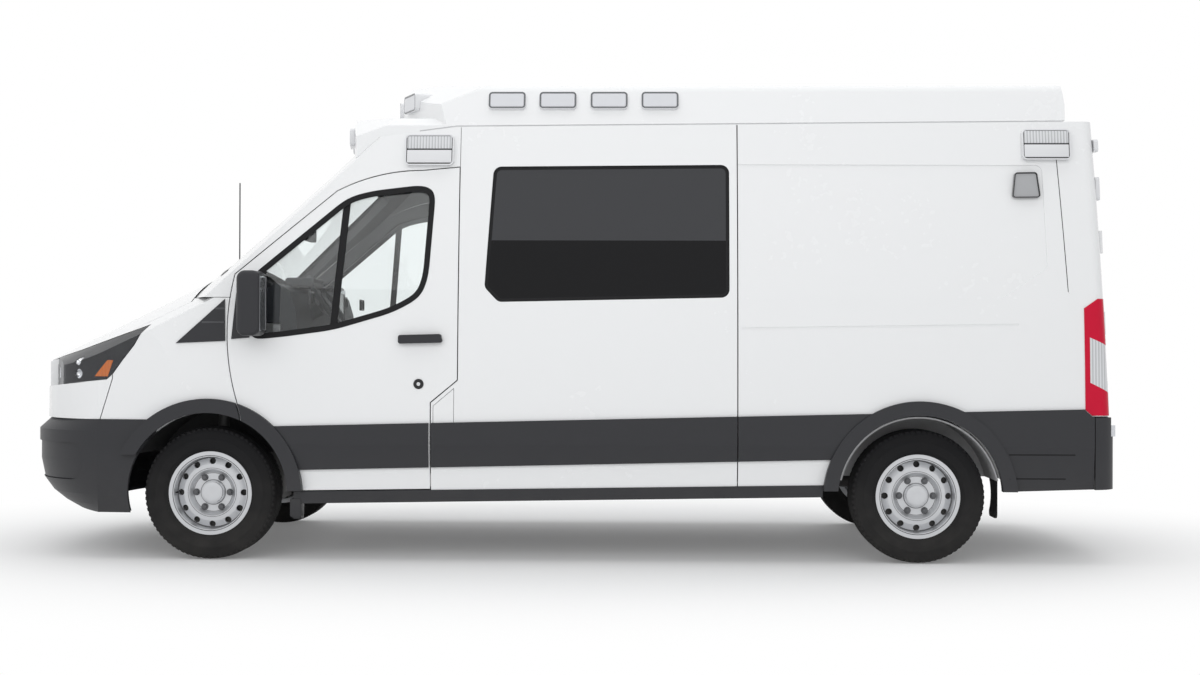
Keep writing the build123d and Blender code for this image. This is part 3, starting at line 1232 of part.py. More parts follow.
# Fuel tank and exhaust under the floor
with BuildPart() as fuel_tank:
    add(block(995.0 - AXLE_X, 2115.0 - AXLE_X, RAIL_OUT + 22.0, HALF_WIDTH - 240.0, 400.0, FLOOR_TOP - FLOOR_THICK))
    fillet(fuel_tank.edges().filter_by(Axis.X).sort_by(Axis.Z)[:2], 60.0)
write(fuel_tank, "fuel_tank")

PIPE_Y = 145.0 - RAIL_IN
PIPE_BACK_X = REAR_X + 10.0
PIPE_Z = 500.0
with BuildPart() as exhaust:
    with BuildSketch(Plane.YZ.offset(PIPE_BACK_X)):
        with Locations((PIPE_Y, PIPE_Z)):
            Circle(32.0)
    extrude(amount=AXLE_X - 375.0 - PIPE_BACK_X)
    with BuildSketch(Plane.YZ.offset(555.0 - AXLE_X)):
        with Locations((PIPE_Y, PIPE_Z)):
            RectangleRounded(240.0, 180.0, 84.0)
    extrude(amount=740.0)
    for hanger_x, roof_z in (
        (-AXLE_X - 725.0, FLOOR_TOP),
        (595.0 - AXLE_X, FLOOR_TOP),
        (1235.0 - AXLE_X, FLOOR_TOP),
        (AXLE_X - 975.0, CAB_FLOOR_TOP),
    ):
        add(block(hanger_x - 10.0, hanger_x + 10.0, PIPE_Y - 8.0, PIPE_Y + 8.0, PIPE_Z, roof_z - FLOOR_THICK))
write(exhaust, "exhaust")

# Dashboard and seats
DASH = [
    (FIREWALL_X - 40.0, 900.0),
    (AXLE_X - 405.0, 900.0),
    (AXLE_X - 455.0, 1120.0),
    (AXLE_X - 435.0, 1330.0),
    (AXLE_X - 405.0, 1430.0),
    (AXLE_X - 335.0, 1478.0),
    (AXLE_X - 275.0, 1440.0),
    (AXLE_X - 215.0, 1400.0),
    (AXLE_X - 215.0, 1262.0),
    (FIREWALL_X - 40.0, 1262.0),
]
STEER_Y = 440.0
STEER_CENTRE = (AXLE_X - 523.0, STEER_Y, 1380.0)
STEER_RAKE = 36.0
STEER_RIM = 188.0
STEER_STUB = 52.0
STEER_AXIS = (-cos(radians(STEER_RAKE)), 0, sin(radians(STEER_RAKE)))
STEER_PLANE = Plane(origin=STEER_CENTRE, x_dir=(0, 1, 0), z_dir=STEER_AXIS)
with BuildPart() as dashboard:
    add(side_prism(DASH, -DASH_HALF, DASH_HALF))
    fillet(dashboard.edges().filter_by(Axis.Y).group_by(Axis.Z)[-1], 30.0)
    with BuildSketch(STEER_PLANE.offset(-STEER_STUB - FIT)):
        Circle(38.0)
    extrude(amount=-90.0)
write(dashboard, "dashboard")

SEAT_Y = STEER_Y
SEAT_HALF = 250.0
SEAT_OUTLINE = [
    (AXLE_X - 1175.0, CAB_FLOOR_TOP),
    (AXLE_X - 755.0, CAB_FLOOR_TOP),
    (AXLE_X - 755.0, 860.0),
    (AXLE_X - 695.0, 900.0),
    (AXLE_X - 695.0, 1020.0),
    (AXLE_X - 775.0, 1046.0),
    (AXLE_X - 1085.0, 1010.0),
    (AXLE_X - 1235.0, 1570.0),
    (AXLE_X - 1305.0, 1570.0),
    (AXLE_X - 1315.0, 1500.0),
    (AXLE_X - 1195.0, 960.0),
]
HEADREST = [
    (AXLE_X - 1275.0, 1550.0),
    (AXLE_X - 1235.0, 1550.0),
    (AXLE_X - 1249.0, 1640.0),
    (AXLE_X - 1225.0, 1660.0),
    (AXLE_X - 1245.0, 1820.0),
    (AXLE_X - 1315.0, 1820.0),
    (AXLE_X - 1315.0, 1650.0),
]
with BuildPart() as seats:
    add(side_prism(SEAT_OUTLINE, SEAT_Y - SEAT_HALF, SEAT_Y + SEAT_HALF))
    fillet(seats.edges().filter_by(Axis.Y).sort_by(Axis.Z)[-4:], 24.0)
    add(side_prism(HEADREST, SEAT_Y - 130.0, SEAT_Y + 130.0))
    mirror(about=Plane.XZ)
write(seats, "seats")

# Steering wheel on its column, raked to the driver
with BuildPart() as steering_wheel:
    with BuildSketch(Plane(origin=STEER_CENTRE, x_dir=(0, 1, 0), z_dir=(-STEER_AXIS[2], 0, STEER_AXIS[0]))):
        with Locations((STEER_RIM - 14.0, 0)):
            RegularPolygon(14.0, 8, rotation=22.5)
    revolve(axis=Axis(STEER_CENTRE, STEER_AXIS))
    with BuildSketch(STEER_PLANE.offset(-30.0)):
        Circle(62.0)
    extrude(amount=36.0)
    with BuildSketch(STEER_PLANE.offset(-12.0)):
        with PolarLocations(STEER_RIM / 2, 3, 90.0):
            Rectangle(STEER_RIM - 24.0, 40.0)
    extrude(amount=12.0)
    with BuildSketch(STEER_PLANE.offset(-STEER_STUB)):
        Circle(22.0)
    extrude(amount=40.0)
write(steering_wheel, "steering_wheel")

# Wheels: steel rims with a dished disc, and tyres
VENTS = 12
VENT_RING = 168.0
VENT = 17.0
with BuildPart() as rim:
    with BuildSketch(Plane.XY):
        with BuildLine():
            Polyline(
                (RIM_RADIUS, RIM_HALF), (RIM_RADIUS, RIM_HALF - 12.0), (RIM_RADIUS - 16.0, RIM_HALF - 20.0),
                (RIM_RADIUS - 22.0, 20.0), (RIM_RADIUS - 36.0, 0.0), (RIM_RADIUS - 36.0, -60.0),
                (RIM_RADIUS - 16.0, -RIM_HALF + 14.0), (RIM_RADIUS, -RIM_HALF + 12.0), (RIM_RADIUS, -RIM_HALF),
                (RIM_RADIUS - 26.0, -RIM_HALF), (RIM_RADIUS - 44.0, -60.0), (RIM_RADIUS - 44.0, 22.0),
                (150.0, DISC_OUT - 14.0), (126.0, DISC_OUT - 10.0), (112.0, HUB_FACE), (0.0, HUB_FACE),
                (0.0, DISC_OUT - 10.0), (62.0, DISC_OUT - 10.0), (66.0, DISC_OUT - 22.0), (106.0, DISC_OUT - 22.0),
                (124.0, DISC_OUT), (152.0, DISC_OUT - 2.0), (RIM_RADIUS - 32.0, 36.0),
                (RIM_RADIUS - 28.0, RIM_HALF), close=True)
        make_face()
    revolve(axis=Axis.Y)
    with BuildSketch(Plane.XZ.offset(-100.0)):
        with PolarLocations(VENT_RING, VENTS):
            Circle(VENT)
    extrude(amount=140.0, mode=Mode.SUBTRACT)

# Each tyre is a ring of flat facets, so its tread keeps to the round
TYRE_FACETS = 48
FACET_HALF = TYRE_RADIUS * tan(pi / TYRE_FACETS)
TYRE_SECTION = [
    # place across the tread, radius
    (0.0, RIM_RADIUS + FIT),
    (RIM_HALF, RIM_RADIUS + FIT),
    (TYRE_WIDTH / 2, RIM_RADIUS + 62.0),
    (TYRE_WIDTH / 2 - 8.0, TYRE_RADIUS - 30.0),
    (TYRE_WIDTH / 2 - 34.0, TYRE_RADIUS),
    (0.0, TYRE_RADIUS),
]
with BuildPart() as facet:
    with BuildSketch(Plane.YZ.offset(-FACET_HALF)):
        with BuildLine():
            Polyline(*TYRE_SECTION, close=True)
        make_face()
        mirror(about=Plane.YZ)
    extrude(amount=2 * FACET_HALF)
    with BuildSketch(Plane.XZ.offset(-TYRE_WIDTH)):
        with BuildLine():
            Polyline((0, 0), (FACET_HALF, TYRE_RADIUS), (-FACET_HALF, TYRE_RADIUS), close=True)
        make_face()
    extrude(amount=2 * TYRE_WIDTH, mode=Mode.INTERSECT)

with BuildPart() as tyre:
    add([facet.part.rotate(Axis.Y, step * 360.0 / TYRE_FACETS) for step in range(TYRE_FACETS)])

for corner, x, side in (
    ("front_left", AXLE_X, 1),
    ("front_right", AXLE_X, -1),
    ("rear_left", -AXLE_X, 1),
    ("rear_right", -AXLE_X, -1),
):
    for piece, name in ((rim, "rim"), (tyre, "tyre")):
        with BuildPart() as wheel_piece:
            with Locations(Location((x, side * WHEEL_Y, AXLE_Z), (0, 0, 0 if side > 0 else 180))):
                add(piece.part)
        write(wheel_piece, f"{corner}_{name}")

# Steering knuckles: hub, upright and strut leg
for label, side in (("left", 1), ("right", -1)):
    with BuildPart() as knuckle:
        near, far = sorted((side * (WHEEL_Y - 150.0), side * (WHEEL_Y + HUB_FACE - FIT)))
        add(drum(AXLE_X, 62.0, near, far))
        add(block(AXLE_X - 40.0, AXLE_X + 40.0, *sorted((side * (WHEEL_Y - 168.0), side * (WHEEL_Y - 118.0))),
                  250.0, 500.0))
        add(block(AXLE_X - 34.0, AXLE_X + 34.0, *sorted((side * (WHEEL_Y - 158.0), side * (WHEEL_Y - 38.0))),
                  256.0, 300.0))
        with BuildSketch(king_plane(side, BALL_SEAT + FIT)):
            Circle(BALL_RADIUS - 4.0)
        extrude(amount=50.0)
        strut_y = side * (WHEEL_Y - 166.0)
        strut = Plane(origin=(AXLE_X, strut_y, 440.0), x_dir=(1, 0, 0), z_dir=(0, -side * 0.0936, 0.9956))
        with BuildSketch(strut):
            Circle(30.0)
        extrude(amount=330.0)
    write(knuckle, f"{label}_knuckle")

# Warning and scene lamps round the roof
CAP_LEAN = degrees(atan2(CAP_FOOT_Y - CAP_SHOULDER[0], CAP_SHOULDER[1] - CAP_FOOT_Z))
LAMP_LONG = 198.0
LAMP_HIGH = 96.0
LAMP_DEEP = 24.0
SIDE_LAMP_X = (AXLE_X - 1567.0, AXLE_X - 1840.0, AXLE_X - 2115.0, AXLE_X - 2388.0)
SIDE_LAMP_Z = 2454.0
SIDE_LAMP_Y = CAP_FOOT_Y - (SIDE_LAMP_Z - CAP_FOOT_Z) * tan(radians(CAP_LEAN))
FRONT_LAMPS = (
    # x, y, z, turn
    (CAP_FRONT_X - 43.0, 190.0, 2482.0, 0.0),
    (CAP_FRONT_X - 133.0, 0.642 * CAP_FOOT_Y, 2482.0, 26.0),
    (BROW_FRONT_X - 5.0, 190.0, 2288.0, 3.0),
    (BROW_FRONT_X - 42.0, 0.642 * CAP_FOOT_Y, 2288.0, 9.0),
)
REAR_LAMPS = (
    # y, height above the rear sill along the rear plane, width, height
    (REAR_EDGE_LOW - 28.0, 1464.0, 76.0, 66.0),
    (REAR_EDGE_LOW - 32.0, 1235.0, 84.0, 124.0),
)
ROOF_SKIN = roof_form(-FIT)
with BuildPart() as warning_lamps:
    face = Plane(
        origin=(0, SIDE_LAMP_Y + FIT, SIDE_LAMP_Z),
        x_dir=(1, 0, 0),
        z_dir=(0, cos(radians(CAP_LEAN)), sin(radians(CAP_LEAN))),
    )
    for lamp_x in SIDE_LAMP_X:
        with BuildSketch(face):
            with Locations((lamp_x, 0)):
                RectangleRounded(LAMP_LONG, LAMP_HIGH, 20.0)
        extrude(amount=LAMP_DEEP)
    for x, y, z, turn in FRONT_LAMPS:
        facing = (cos(radians(turn)), sin(radians(turn)), 0)
        with BuildSketch(Plane(origin=(x, y, z), x_dir=(0, 0, 1), z_dir=facing).offset(-80.0)):
            RectangleRounded(LAMP_HIGH, LAMP_LONG, 20.0)
        extrude(amount=80.0 + LAMP_DEEP)
    add(ROOF_SKIN, mode=Mode.SUBTRACT)
    for y, rise, width, height in REAR_LAMPS:
        with BuildSketch(REAR_PLANE.offset(-FIT)):
            with Locations((y, rise)):
                RectangleRounded(width, height, 16.0)
        extrude(amount=FIT - LAMP_DEEP + 2.0)
    mirror(about=Plane.XZ)
write(warning_lamps, "warning_lamps")

POD_IN = REAR_BUMPER_IN + 4.0
POD_OUT = POD_IN + 40.0
SCENE_LAMPS = (
    # x, z, length, height
    (AXLE_X - 1160.0, 2184.0, 259.0, 166.0),
    (-AXLE_X - 677.0, 2214.0, 254.0, 164.0),
)
VENT_SCOOP = [
    (-AXLE_X - 509.0, 2064.0),
    (-AXLE_X - 625.0, 2066.0),
    (-AXLE_X - 641.0, 1930.0),
    (-AXLE_X - 492.0, 1928.0),
]
with BuildPart() as scene_lamps:
    for x, z, long, high in SCENE_LAMPS:
        outline = [
            (x - long / 2, z - high / 2),
            (x + long / 2, z - high / 2),
            (x + long / 2, z + high / 2),
            (x - long / 2, z + high / 2),
        ]
        add(piece_of(wall_layer(-34.0, -FIT), [side_prism(outline, 0.0, OUTSIDE, 0.0, 24.0)]))
    add(piece_of(wall_layer(-20.0, SWAGE_DEEP - FIT), [side_prism(VENT_SCOOP, 0.0, OUTSIDE, 0.0, 16.0)]))
    pod_x = REAR_X - 2.0 - FIT
    add(block(pod_x - 22.0, pod_x, POD_IN, POD_OUT, STEP_LIP_Z + FIT, 735.0))
    mirror(about=Plane.XZ)
write(scene_lamps, "scene_lamps")

# Interior mirror hung from the windscreen
with BuildPart() as cab_mirror:
    add(block(AXLE_X - 347.0, AXLE_X - 319.0, -120.0, 120.0, 1752.0, 1838.0))
    fillet(cab_mirror.edges().filter_by(Axis.X), 24.0)
    add(block(AXLE_X - 335.0, AXLE_X - 115.0, -12.0, 12.0, 1790.0, 1812.0))
    add(crowned_prism(SCREEN_CREST, SCREEN_SLOPE, SCREEN_CROWN, GLASS_IN + GLASS + FIT), mode=Mode.INTERSECT)
write(cab_mirror, "cab_mirror")

# Aerial mast on the right fender
MAST = (AXLE_X + 315.0, 105.0 - HALF_WIDTH, 2190.0)
MAST_FOOT_Z = 1290.0
with BuildPart() as aerial:
    with BuildSketch(Plane.XY.offset(1100.0)):
        with Locations(MAST[:2]):
            Circle(16.0)
    extrude(amount=MAST_FOOT_Z - 1100.0)
    add(front_body(-FIT, -FIT), mode=Mode.SUBTRACT)
    with BuildSketch(Plane.XY.offset(MAST_FOOT_Z)):
        with Locations(MAST[:2]):
            Circle(4.0)
    extrude(amount=MAST[2] - MAST_FOOT_Z)
write(aerial, "aerial")
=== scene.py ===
"""Looks of the raised-roof wheelchair accessible ambulance van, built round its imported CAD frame."""

import logging
from contextlib import contextmanager
from dataclasses import dataclass
from enum import Enum
from math import cos, pi, radians, sin, sqrt
from typing import Callable, Iterator, Optional, Sequence

import bmesh
import bpy
from mathutils import Matrix, Vector


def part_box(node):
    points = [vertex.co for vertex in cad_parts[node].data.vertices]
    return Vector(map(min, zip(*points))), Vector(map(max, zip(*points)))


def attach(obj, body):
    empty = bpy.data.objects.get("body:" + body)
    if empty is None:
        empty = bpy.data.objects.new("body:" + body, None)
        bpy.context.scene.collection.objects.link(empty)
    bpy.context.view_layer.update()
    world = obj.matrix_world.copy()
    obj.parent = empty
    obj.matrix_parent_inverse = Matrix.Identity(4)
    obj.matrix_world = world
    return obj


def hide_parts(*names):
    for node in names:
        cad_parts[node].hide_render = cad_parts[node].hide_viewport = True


logging.basicConfig(level=logging.INFO, format="%(message)s")
LOG = logging.getLogger("van")

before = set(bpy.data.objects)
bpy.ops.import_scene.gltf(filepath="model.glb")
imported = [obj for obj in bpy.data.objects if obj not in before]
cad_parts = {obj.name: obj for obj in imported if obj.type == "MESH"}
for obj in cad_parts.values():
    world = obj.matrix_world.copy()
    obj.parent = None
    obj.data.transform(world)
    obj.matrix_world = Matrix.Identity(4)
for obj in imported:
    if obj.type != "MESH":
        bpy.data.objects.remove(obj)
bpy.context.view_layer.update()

Colour = tuple[float, float, float]
Point = tuple[float, float, float]
Pair = tuple[float, float]
Piece = bpy.types.Object
Socket = bpy.types.NodeSocket
Tree = bpy.types.NodeTree

# Body side as the CAD has it: an arc of this radius over the waist
HALF_WIDTH = 1.030
WAIST_Z = 0.620
SIDE_RADIUS = 10.0
SMOOTH_ANGLE = radians(32)
MERGE = 1e-5
OUTSIDE_Y = 1.5

# Shader values that every finish shares
DUST_COLOUR: Colour = (0.33, 0.31, 0.28)
COAT_ROUGHNESS = 0.04
BUMP_STRENGTH = 0.6
RIB_DEPTH = 0.0015
WEAVE_DEPTH = 0.0012
SLOW_NOISE, QUICK_NOISE, DUST_NOISE = 1.7, 23.0, 9.0
GLOSS_SWING = 0.05
LINING_EDGE = 400.0


def skin_y(z: float) -> float:
    """Distance of the body's outer skin from the centre plane at a height."""
    return HALF_WIDTH - SIDE_RADIUS + sqrt(SIDE_RADIUS**2 - (max(z, WAIST_Z) - WAIST_Z) ** 2)


class Side(Enum):
    """Left or right of the van, as the sign of y."""

    LEFT = 1
    RIGHT = -1

    @property
    def word(self) -> str:
        """The side's name as the bodies and nodes use it."""
        return self.name.lower()


class Grain(Enum):
    """Kinds of fine surface relief, as noise scale per metre and bump distance in metres."""

    PEEL = (220.0, 0.00002)
    FINE = (900.0, 0.00022)
    COARSE = (420.0, 0.0005)
    CAST = (160.0, 0.0006)
    NONE = (1.0, 0.0)


def add_node(tree: Tree, kind: str, inputs: Optional[dict] = None, **settings: object) -> bpy.types.Node:
    """Add a shader node.

    Args:
        tree: tree that gets the node.
        kind: type of the node, without its prefix.
        inputs: name or number of an input to a socket or a value.
        settings: the node's own properties, set before its inputs.

    Returns:
        The node.
    """
    node = tree.nodes.new(f"ShaderNode{kind}")
    for label, value in settings.items():
        setattr(node, label, value)
    for label, value in (inputs or {}).items():
        if isinstance(value, Socket):
            tree.links.new(value, node.inputs[label])
        else:
            node.inputs[label].default_value = value
    return node


def compute(tree: Tree, operation: str, *operands: object, clamp: bool = False) -> Socket:
    """Result of a Math node on sockets or numbers."""
    return add_node(tree, "Math", dict(enumerate(operands)), operation=operation, use_clamp=clamp).outputs[0]


def mixed(tree: Tree, first: Socket, second: object, factor: object = 1.0, blend: str = "MIX") -> Socket:
    """Mix of two colours, the second a socket or four numbers."""
    return add_node(tree, "Mix", {"Factor": factor, "A": first, "B": second}, data_type="RGBA",
                    blend_type=blend).outputs["Result"]


def placed(tree: Tree, output: str = "Object") -> tuple[Socket, Socket, Socket, Socket]:
    """A texture coordinate, whole and split into x, y and z."""
    whole = add_node(tree, "TexCoord").outputs[output]
    return (whole, *add_node(tree, "SeparateXYZ", {0: whole}).outputs)


class NodeGroups:
    """Shader node groups that several finishes share."""

    def __init__(self) -> None:
        """Build every group once."""
        self.mottle = self._mottle()
        self.lining = self._lining()
        self.ribs = self._ribs()
        self.dust = self._dust()
        self.weave = self._weave()

    @staticmethod
    def _new(name: str, inputs: dict[str, object], *outputs: str) -> Tree:
        """Make an empty group, whose sockets are numbers apart from one called Colour.

        Args:
            name: name of the group.
            inputs: socket name to default value.
            outputs: socket names.

        Returns:
            The group, with its input and output nodes placed.
        """
        group = bpy.data.node_groups.new(name, "ShaderNodeTree")
        for way, labels in (("INPUT", inputs), ("OUTPUT", outputs)):
            for label in labels:
                kind = "NodeSocketColor" if label == "Colour" else "NodeSocketFloat"
                socket = group.interface.new_socket(label, in_out=way, socket_type=kind)
                if way == "INPUT":
                    socket.default_value = inputs[label]
        group.nodes.new("NodeGroupInput").name = "in"
        group.nodes.new("NodeGroupOutput").name = "out"
        return group

    @staticmethod
    def _give(group: Tree, **results: Socket) -> Tree:
        """Link results to the group's outputs of the same names."""
        for label, result in results.items():
            group.links.new(result, group.nodes["out"].inputs[label])
        return group

    @staticmethod
    def _noise(group: Tree, place: Socket, scale: object, detail: float) -> Socket:
        """Value of a Noise Texture at a place."""
        return add_node(group, "TexNoise", {"Vector": place, "Scale": scale, "Detail": detail}).outputs["Fac"]

    @staticmethod
    def _wave(group: Tree, along: Socket) -> Socket:
        """Sine along a coordinate, one turn for each pitch."""
        share = compute(group, "DIVIDE", along, group.nodes["in"].outputs["Pitch"])
        return compute(group, "SINE", compute(group, "MULTIPLY", share, 2 * pi))

    def _mottle(self) -> Tree:
        """Slow change of colour and gloss over a surface, and a fine grain as height."""
        group = self._new("mottle", {"Colour": (0.5, 0.5, 0.5, 1.0), "Amount": 0.1, "Roughness": 0.4,
                                     "Grain Scale": 300.0}, "Colour", "Roughness", "Height")
        given = group.nodes["in"].outputs
        place = placed(group)[0]
        slow = self._noise(group, place, SLOW_NOISE, 3.0)
        quick = self._noise(group, place, QUICK_NOISE, 4.0)
        swing = compute(group, "SUBTRACT", compute(group, "ADD", slow, quick), 1.0)
        shade = compute(group, "MULTIPLY_ADD", swing, given["Amount"], 1.0)
        tone = add_node(group, "CombineColor", {0: shade, 1: shade, 2: shade}).outputs[0]
        colour = mixed(group, given["Colour"], tone, blend="MULTIPLY")
        rough = compute(group, "MULTIPLY_ADD", swing, GLOSS_SWING, given["Roughness"], clamp=True)
        grain = self._noise(group, place, given["Grain Scale"], 2.0)
        return self._give(group, Colour=colour, Roughness=rough, Height=grain)

    def _lining(self) -> Tree:
        """Mask of the inner faces of the body wall, from their depth under the skin and the way they face."""
        group = self._new("lining", {"Depth": 0.03}, "Mask")
        _, _, across, height = placed(group)
        rise = compute(group, "MAXIMUM", compute(group, "SUBTRACT", height, WAIST_Z), 0.0)
        square = compute(group, "SUBTRACT", SIDE_RADIUS**2, compute(group, "MULTIPLY", rise, rise))
        skin = compute(group, "ADD", compute(group, "SQRT", square), HALF_WIDTH - SIDE_RADIUS)
        depth = compute(group, "SUBTRACT", skin, compute(group, "ABSOLUTE", across))
        over = compute(group, "SUBTRACT", depth, group.nodes["in"].outputs["Depth"])
        deep = compute(group, "MULTIPLY", over, LINING_EDGE, clamp=True)
        _, facing_x, _, facing_z = placed(group, "Normal")
        ahead = compute(group, "MULTIPLY_ADD", facing_z, 0.8, facing_x)
        mask = compute(group, "MULTIPLY", deep, compute(group, "LESS_THAN", ahead, 0.3))
        return self._give(group, Mask=mask)

    def _ribs(self) -> Tree:
        """Upright ribs along a lens, as height and shade."""
        group = self._new("ribs", {"Pitch": 0.012}, "Height", "Shade")
        wave = compute(group, "MULTIPLY_ADD", self._wave(group, placed(group)[1]), 0.5, 0.5)
        return self._give(group, Height=wave, Shade=compute(group, "MULTIPLY_ADD", wave, 0.35, 0.65))

    def _dust(self) -> Tree:
        """Road dust that thins out with height."""
        group = self._new("dust", {"Top": 0.6, "Amount": 0.3}, "Mask")
        given = group.nodes["in"].outputs
        place, _, _, height = placed(group)
        share = compute(group, "SUBTRACT", 1.0, compute(group, "DIVIDE", height, given["Top"]), clamp=True)
        patch = compute(group, "MULTIPLY", share, self._noise(group, place, DUST_NOISE, 5.0))
        return self._give(group, Mask=compute(group, "MULTIPLY", patch, given["Amount"]))

    def _weave(self) -> Tree:
        """Crossed threads of seat cloth, as height and shade."""
        group = self._new("weave", {"Pitch": 0.004}, "Height", "Shade")
        _, along, across, height = placed(group)
        waves = [self._wave(group, compute(group, "ADD", axis, height)) for axis in (along, across)]
        product = compute(group, "MULTIPLY_ADD", compute(group, "MULTIPLY", *waves), 0.5, 0.5)
        return self._give(group, Height=product, Shade=compute(group, "MULTIPLY_ADD", product, 0.4, 0.7))


GROUPS = NodeGroups()


@dataclass(frozen=True)
class Finish:
    """A surface finish: one Principled shader whose colour, gloss and relief come from the shared groups."""

    name: str
    colour: Colour
    roughness: float = 0.4
    metallic: float = 0.0
    coat: float = 0.0
    specular: float = 0.5
    transmission: float = 0.0
    ior: float = 1.45
    amount: float = 0.06
    grain: Grain = Grain.FINE
    lining: Optional[Colour] = None
    dust: float = 0.0
    sheen: float = 0.0
    ribs: float = 0.0
    weave: float = 0.0
    light_through: bool = False
    zones: tuple[tuple[str, float, float, Colour], ...] = ()

    def build(self) -> bpy.types.Material:
        """Make the material, once for each name.

        Returns:
            The material.
        """
        label = f"{self.name}_finish"
        if label in bpy.data.materials:
            return bpy.data.materials[label]
        material = bpy.data.materials.new(label)
        material.use_nodes = True
        tree = material.node_tree
        shader = tree.nodes["Principled BSDF"]
        for socket, value in (("Metallic", self.metallic), ("IOR", self.ior), ("Coat Weight", self.coat),
                              ("Transmission Weight", self.transmission), ("Coat Roughness", COAT_ROUGHNESS),
                              ("Specular IOR Level", self.specular), ("Sheen Weight", self.sheen)):
            shader.inputs[socket].default_value = value
        scale, distance = self.grain.value
        mottle = add_node(tree, "Group", {"Colour": (*self.colour, 1.0), "Amount": self.amount,
                                          "Roughness": self.roughness, "Grain Scale": scale},
                          node_tree=GROUPS.mottle).outputs
        colour, height = mottle["Colour"], mottle["Height"]
        for axis, low, high, tint in self.zones:
            colour = mixed(tree, colour, (*tint, 1.0), self._band(tree, axis, low, high))
        if self.lining:
            mask = add_node(tree, "Group", node_tree=GROUPS.lining).outputs["Mask"]
            colour = mixed(tree, colour, (*self.lining, 1.0), mask)
        if self.dust:
            mask = add_node(tree, "Group", {"Amount": self.dust}, node_tree=GROUPS.dust).outputs["Mask"]
            colour = mixed(tree, colour, (*DUST_COLOUR, 1.0), mask)
        for pitch, group, depth in ((self.ribs, GROUPS.ribs, RIB_DEPTH),
                                    (self.weave, GROUPS.weave, WEAVE_DEPTH)):
            if pitch:
                pattern = add_node(tree, "Group", {"Pitch": pitch}, node_tree=group).outputs
                height, distance = pattern["Height"], depth
                colour = mixed(tree, colour, pattern["Shade"], blend="MULTIPLY")
        tree.links.new(colour, shader.inputs["Base Color"])
        tree.links.new(mottle["Roughness"], shader.inputs["Roughness"])
        if distance:
            bump = add_node(tree, "Bump", {"Strength": BUMP_STRENGTH, "Distance": distance, "Height": height})
            tree.links.new(bump.outputs["Normal"], shader.inputs["Normal"])
        if self.light_through:
            self._pass_light(tree, shader)
        return material

    @staticmethod
    def _band(tree: Tree, axis: str, low: float, high: float) -> Socket:
        """Mask of a band between two places along the axis X, Y or Z."""
        along = placed(tree)[1 + "XYZ".index(axis)]
        return compute(tree, "COMPARE", along, (low + high) / 2, (high - low) / 2)

    @staticmethod
    def _pass_light(tree: Tree, shader: bpy.types.Node) -> None:
        """Let light for shadows and diffuse bounces through a pane of glass."""
        path = add_node(tree, "LightPath").outputs
        either = compute(tree, "MAXIMUM", path["Is Shadow Ray"], path["Is Diffuse Ray"])
        clear = add_node(tree, "BsdfTransparent").outputs[0]
        mix = add_node(tree, "MixShader", {0: either, 1: shader.outputs[0], 2: clear})
        tree.links.new(mix.outputs[0], tree.nodes["Material Output"].inputs["Surface"])


WHITE: Colour = (0.85, 0.855, 0.86)
CLADDING: Colour = (0.022, 0.0225, 0.026)
TRIM_GREY: Colour = (0.115, 0.118, 0.122)

PAINT = Finish("white_paint", WHITE, 0.26, coat=0.5, amount=0.004, grain=Grain.PEEL)
LINED_PAINT = Finish("white_paint_lined", WHITE, 0.26, coat=0.5, amount=0.004, grain=Grain.PEEL,
                     lining=TRIM_GREY)
DARK_CLADDING = Finish("dark_cladding", CLADDING, 0.46, amount=0.10, dust=0.10)
BLACK_PLASTIC = Finish("black_plastic", (0.014, 0.014, 0.016), 0.42, amount=0.12)
DASH_PLASTIC = Finish("dash_plastic", (0.022, 0.024, 0.028), 0.60, specular=0.3, amount=0.10,
                      grain=Grain.COARSE)
RUBBER_SEAL = Finish("rubber_seal", (0.010, 0.010, 0.011), 0.62, specular=0.3, amount=0.10)
BARE_METAL = Finish("bare_metal", (0.34, 0.34, 0.345), 0.52, metallic=0.3, amount=0.22, grain=Grain.CAST,
                    dust=0.25)
WHEEL_HOUSE = Finish("wheel_house_lining", (0.42, 0.42, 0.425), 0.55, amount=0.22, grain=Grain.CAST, dust=0.2,
                     zones=(("X", 0.0, 4.0, (0.018, 0.018, 0.020)),))
BLACK_STEEL = Finish("black_steel", (0.022, 0.022, 0.023), 0.5, metallic=0.2, amount=0.2, grain=Grain.CAST,
                     dust=0.35)
CAST_STEEL = Finish("cast_steel", (0.12, 0.12, 0.12), 0.6, metallic=0.5, amount=0.25, grain=Grain.CAST,
                    dust=0.35)
SILVER_STEEL = Finish("silver_steel", (0.62, 0.63, 0.65), 0.36, metallic=0.5, coat=0.3, amount=0.05,
                      grain=Grain.PEEL, dust=0.06)
NUT_STEEL = Finish("nut_steel", (0.11, 0.112, 0.118), 0.28, metallic=0.8, amount=0.10, grain=Grain.NONE)
# Dark grey of the rings that paint the shade of the rim's grooves
RIM_SHADE = Finish("rim_shade", (0.13, 0.132, 0.138), 0.50, metallic=0.3, amount=0.10, grain=Grain.NONE)
CHROME = Finish("chrome", (0.72, 0.73, 0.75), 0.12, metallic=1.0, amount=0.05, grain=Grain.NONE)
TYRE_RUBBER = Finish("tyre_rubber", (0.009, 0.009, 0.010), 0.80, specular=0.3, amount=0.18,
                     grain=Grain.COARSE, dust=0.12)
CLEAR_GLASS = Finish("clear_glass", (0.90, 0.93, 0.93), 0.0, specular=0.2, transmission=1.0, amount=0.0,
                     grain=Grain.NONE, light_through=True)
# Above 1.70 m the pane's colour is painted lighter than below: a painted reflection band on the glass.
PRIVACY_GLASS = Finish("privacy_glass", (0.004, 0.004, 0.005), 0.04, specular=0.25, amount=0.1,
                       grain=Grain.NONE, zones=(("Z", 1.70, 3.0, (0.050, 0.051, 0.055)),))
LAMP_COVER = Finish("lamp_cover", (0.80, 0.81, 0.82), 0.0, coat=0.12, transmission=1.0, ior=1.04, amount=0.0,
                    grain=Grain.NONE, light_through=True)
